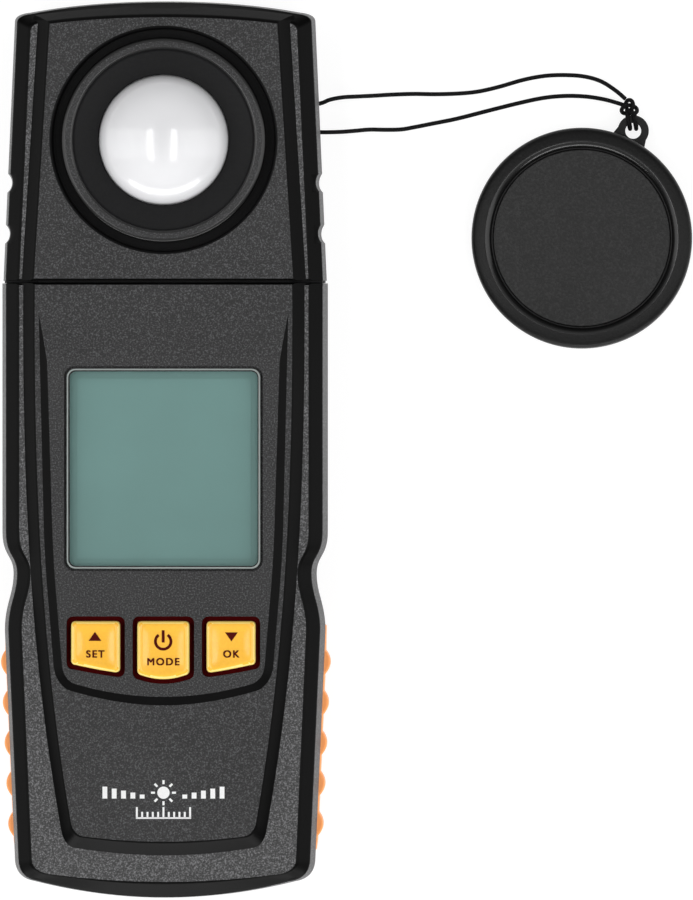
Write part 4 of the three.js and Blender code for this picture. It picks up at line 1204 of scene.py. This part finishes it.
def make_sensor(m):
    collar = lathe(
        "sensor_ring",
        [
            (12.25, 21.9), (15.0, 21.9), (15.0, 20.2), (19.2, 20.2), (19.25, 23.2), (19.15, 23.62),
            (18.9, 23.9), (18.5, 24.0), (17.5, 24.0), (17.25, 23.94), (17.05, 23.75),
            (16.85, 23.1), (16.6, 22.9), (12.45, 22.7), (12.25, 22.5), (12.25, 21.9),
        ],
        0, SENSOR_Y, 144,
    )

    def collar_pick(centre, normal):
        radius = math.hypot(centre.x, centre.y - SENSOR_Y)
        if centre.z > 23.2 and (17.0 < radius < 17.45 or radius > 18.6):
            return 3
        # the outer wall down in the groove and the faces below take black as painted shade
        if radius > 18.95 or centre.z < 22:
            return 2
        return 0 if radius > 17.1 else 1

    dress(collar, [m["grained"], m["cone"], m["inside"], m["edge"]], collar_pick)
    shade_round(collar)
    finished(collar, "head", "collar_plastic", "sensor_collar")

    def arc(radius, base, top, steps):
        angles = [0.5 * math.pi * i / steps for i in range(steps + 1)]
        return [(radius * math.sin(a), base + (top - base) * math.cos(a)) for a in angles]

    inside = arc(10.95, 20.4, 28.5, 12)
    outside = list(reversed(arc(12.15, 22.0, 29.7, 28)))
    profile = inside + [(14.5, 20.4), (14.5, 21.5), (12.15, 21.5)] + outside
    dome = lathe("opal_dome", profile, 0, SENSOR_Y, 128)
    dress(dome, [m["dome"]])
    shade_round(dome)
    finished(dome, "head", "diffuser", "diffuser_dome")


# ---- lens cap ----
def make_cap(m):
    cup = lathe(
        "cap",
        [
            (0, 7.9), (19.0, 7.9), (19.45, 7.6), (19.55, 7.1), (19.55, 0.3), (19.7, 0.0),
            (20.5, 0.0), (20.75, 0.25), (20.8, 0.7), (20.8, 8.7), (20.72, 9.3), (20.5, 9.8),
            (20.1, 10.16), (19.5, 10.36), (18.5, 10.58), (18.2, 10.6), (18.0, 10.54),
            (17.7, 10.38), (17.4, 10.16), (17.25, 9.9), (17.1, 9.2), (17.0, 9.12), (16.75, 9.1),
            (16.7, 9.25), (16.6, 9.36), (16.45, 9.4), (0, 9.4),
        ],
        CAP_X, CAP_Y, 144,
    )
    hole_at = 22.5
    lug = []
    for i in range(29):
        a = math.radians(-100 + 200 * i / 28)
        lug.append((hole_at + 2.95 * math.cos(a), 2.95 * math.sin(a)))
    lug += [(20.0, 3.4), (20.0, -3.4)]
    join(cup, prism("lug", turned(lug, CAP_ANGLE, CAP_X, CAP_Y), 1.8, 3.4))
    hole = turned([(hole_at, 0)], CAP_ANGLE, CAP_X, CAP_Y)[0]
    cut(cup, post(*hole, -1, 9, 1.5, 40))

    def cap_pick(centre, normal):
        radius = math.hypot(centre.x - CAP_X, centre.y - CAP_Y)
        if 17.3 < radius < 18.2 and centre.z > 10:
            return 2
        return 0 if normal.z > 0.95 and radius < 16.7 else 1

    dress(cup, [m["cap"], m["cap_rim"], m["edge"]], cap_pick)
    smooth(cup, 0.1, 2, 40)
    finished(cup, "case", "cap_rubber", "lens_cap")


# ---- CAD pieces that stay ----
KEPT = {
    "board": ("main_board", "sensor_board"),
    "cell": ("battery_1", "battery_2", "battery_3"),
    "chip": ("controller_chip", "sensor_cable", "sensor_holder", "swivel_hub"),
    "cord": ("lanyard_head_loop",),
    "filter": ("photopic_filter",),
    "guide": ("backlight_plate",),
    "nylon": ("cable_socket", "sensor_plug"),
    "silicon": ("photodiode",),
    "silicone": ("zebra_strip", "keypad_mat", "friction_washer"),
    "steel": ("swivel_clip",),
}


def dress_kept(m):
    """Procedural materials and softened edges for the CAD pieces that are shown as they are."""
    looks = {node: look for look, nodes in KEPT.items() for node in nodes}
    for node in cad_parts:
        if "screw" in node or "spring" in node or "battery_contact" in node:
            looks[node] = "steel"
        elif node.endswith("_key_contact"):
            looks[node] = "carbon"
    for node, look in looks.items():
        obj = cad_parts[node]
        for slot in obj.material_slots:
            slot.material = m[look]
        if not obj.material_slots:
            obj.data.materials.append(m[look])
        soften(obj, 0.12, 2, 40)
        obj.modifiers.new("normals", "WEIGHTED_NORMAL")


# ---- floor and lights ----
def make_stage():
    """White table that glows a little, so it stays white and its shadows stay faint."""
    corners = [(-500, -500, 0), (560, -500, 0), (560, 500, 0), (-500, 500, 0)]
    floor = to_object("floor", corners, [(0, 1, 2, 3)])
    material, shader, tree = plain_material("floor_white", (0.25, 0.25, 0.25, 1.0), 0.9)
    stops = [(0.3, (0.245, 0.245, 0.245, 1)), (0.7, (0.255, 0.255, 0.255, 1))]
    tint(tree, shader, noise(tree, 400.0, 1.0), *stops)
    shader.inputs["Specular IOR Level"].default_value = 0.0
    glow(material, (1.0, 1.0, 1.0, 1.0), 0.84)
    floor.data.materials.append(material)


def area_light(name, location, aim, width, height, power):
    data = bpy.data.lights.new(name, "AREA")
    data.shape = "RECTANGLE"
    data.size = width
    data.size_y = height
    data.energy = power
    light = placed(name, data)
    light.location = location
    direction = Vector(aim) - Vector(location)
    light.rotation_euler = direction.to_track_quat("-Z", "Y").to_euler()


def make_lights():
    world = bpy.data.worlds.new("studio")
    world.use_nodes = True
    tree = world.node_tree
    background = tree.nodes["Background"]
    split = tree.nodes.new("ShaderNodeSeparateXYZ")
    tree.links.new(coordinates(tree, "Generated"), split.inputs["Vector"])
    levels = [(0.0, 0.05), (0.35, 0.1), (0.5, 0.4), (0.8, 0.75), (0.93, 0.5), (1.0, 0.14)]
    stops = [(position, (level, level, level, 1.0)) for position, level in levels]
    tree.links.new(ramp(tree, split.outputs["Z"], stops), background.inputs["Color"])
    bpy.context.scene.world = world
    area_light("left_strip", (-0.28, -0.05, 1.0), (-0.28, -0.05, 0), 0.14, 0.66, 1.6)
    area_light("right_strip", (0.2, -0.05, 1.0), (0.2, -0.05, 0), 0.14, 0.66, 1.6)
    area_light("left_box", (-0.69, 0.0, 0.42), (0, 0, 0.01), 0.5, 1.4, 2.45)
    area_light("right_box", (0.72, 0.0, 0.42), (0.03, 0, 0.01), 0.5, 1.4, 2.45)
    area_light("near_box", (0.0, -0.62, 0.1), (0, 0, 0.01), 1.2, 0.2, 3.6)
    bpy.context.scene.view_settings.view_transform = "Standard"
    bpy.context.scene.view_settings.look = "None"


# ---- the scene ----
make_camera()
materials = make_materials()
make_cords(materials)
make_stage()
make_lights()
make_case_front(materials)
make_case_rear(materials)
make_grips(materials)
make_display(materials)
make_keys(materials)
make_case_print(materials)
make_head_front(materials)
make_head_rear(materials)
make_joint_plate(materials)
make_sensor(materials)
make_cap(materials)
dress_kept(materials)
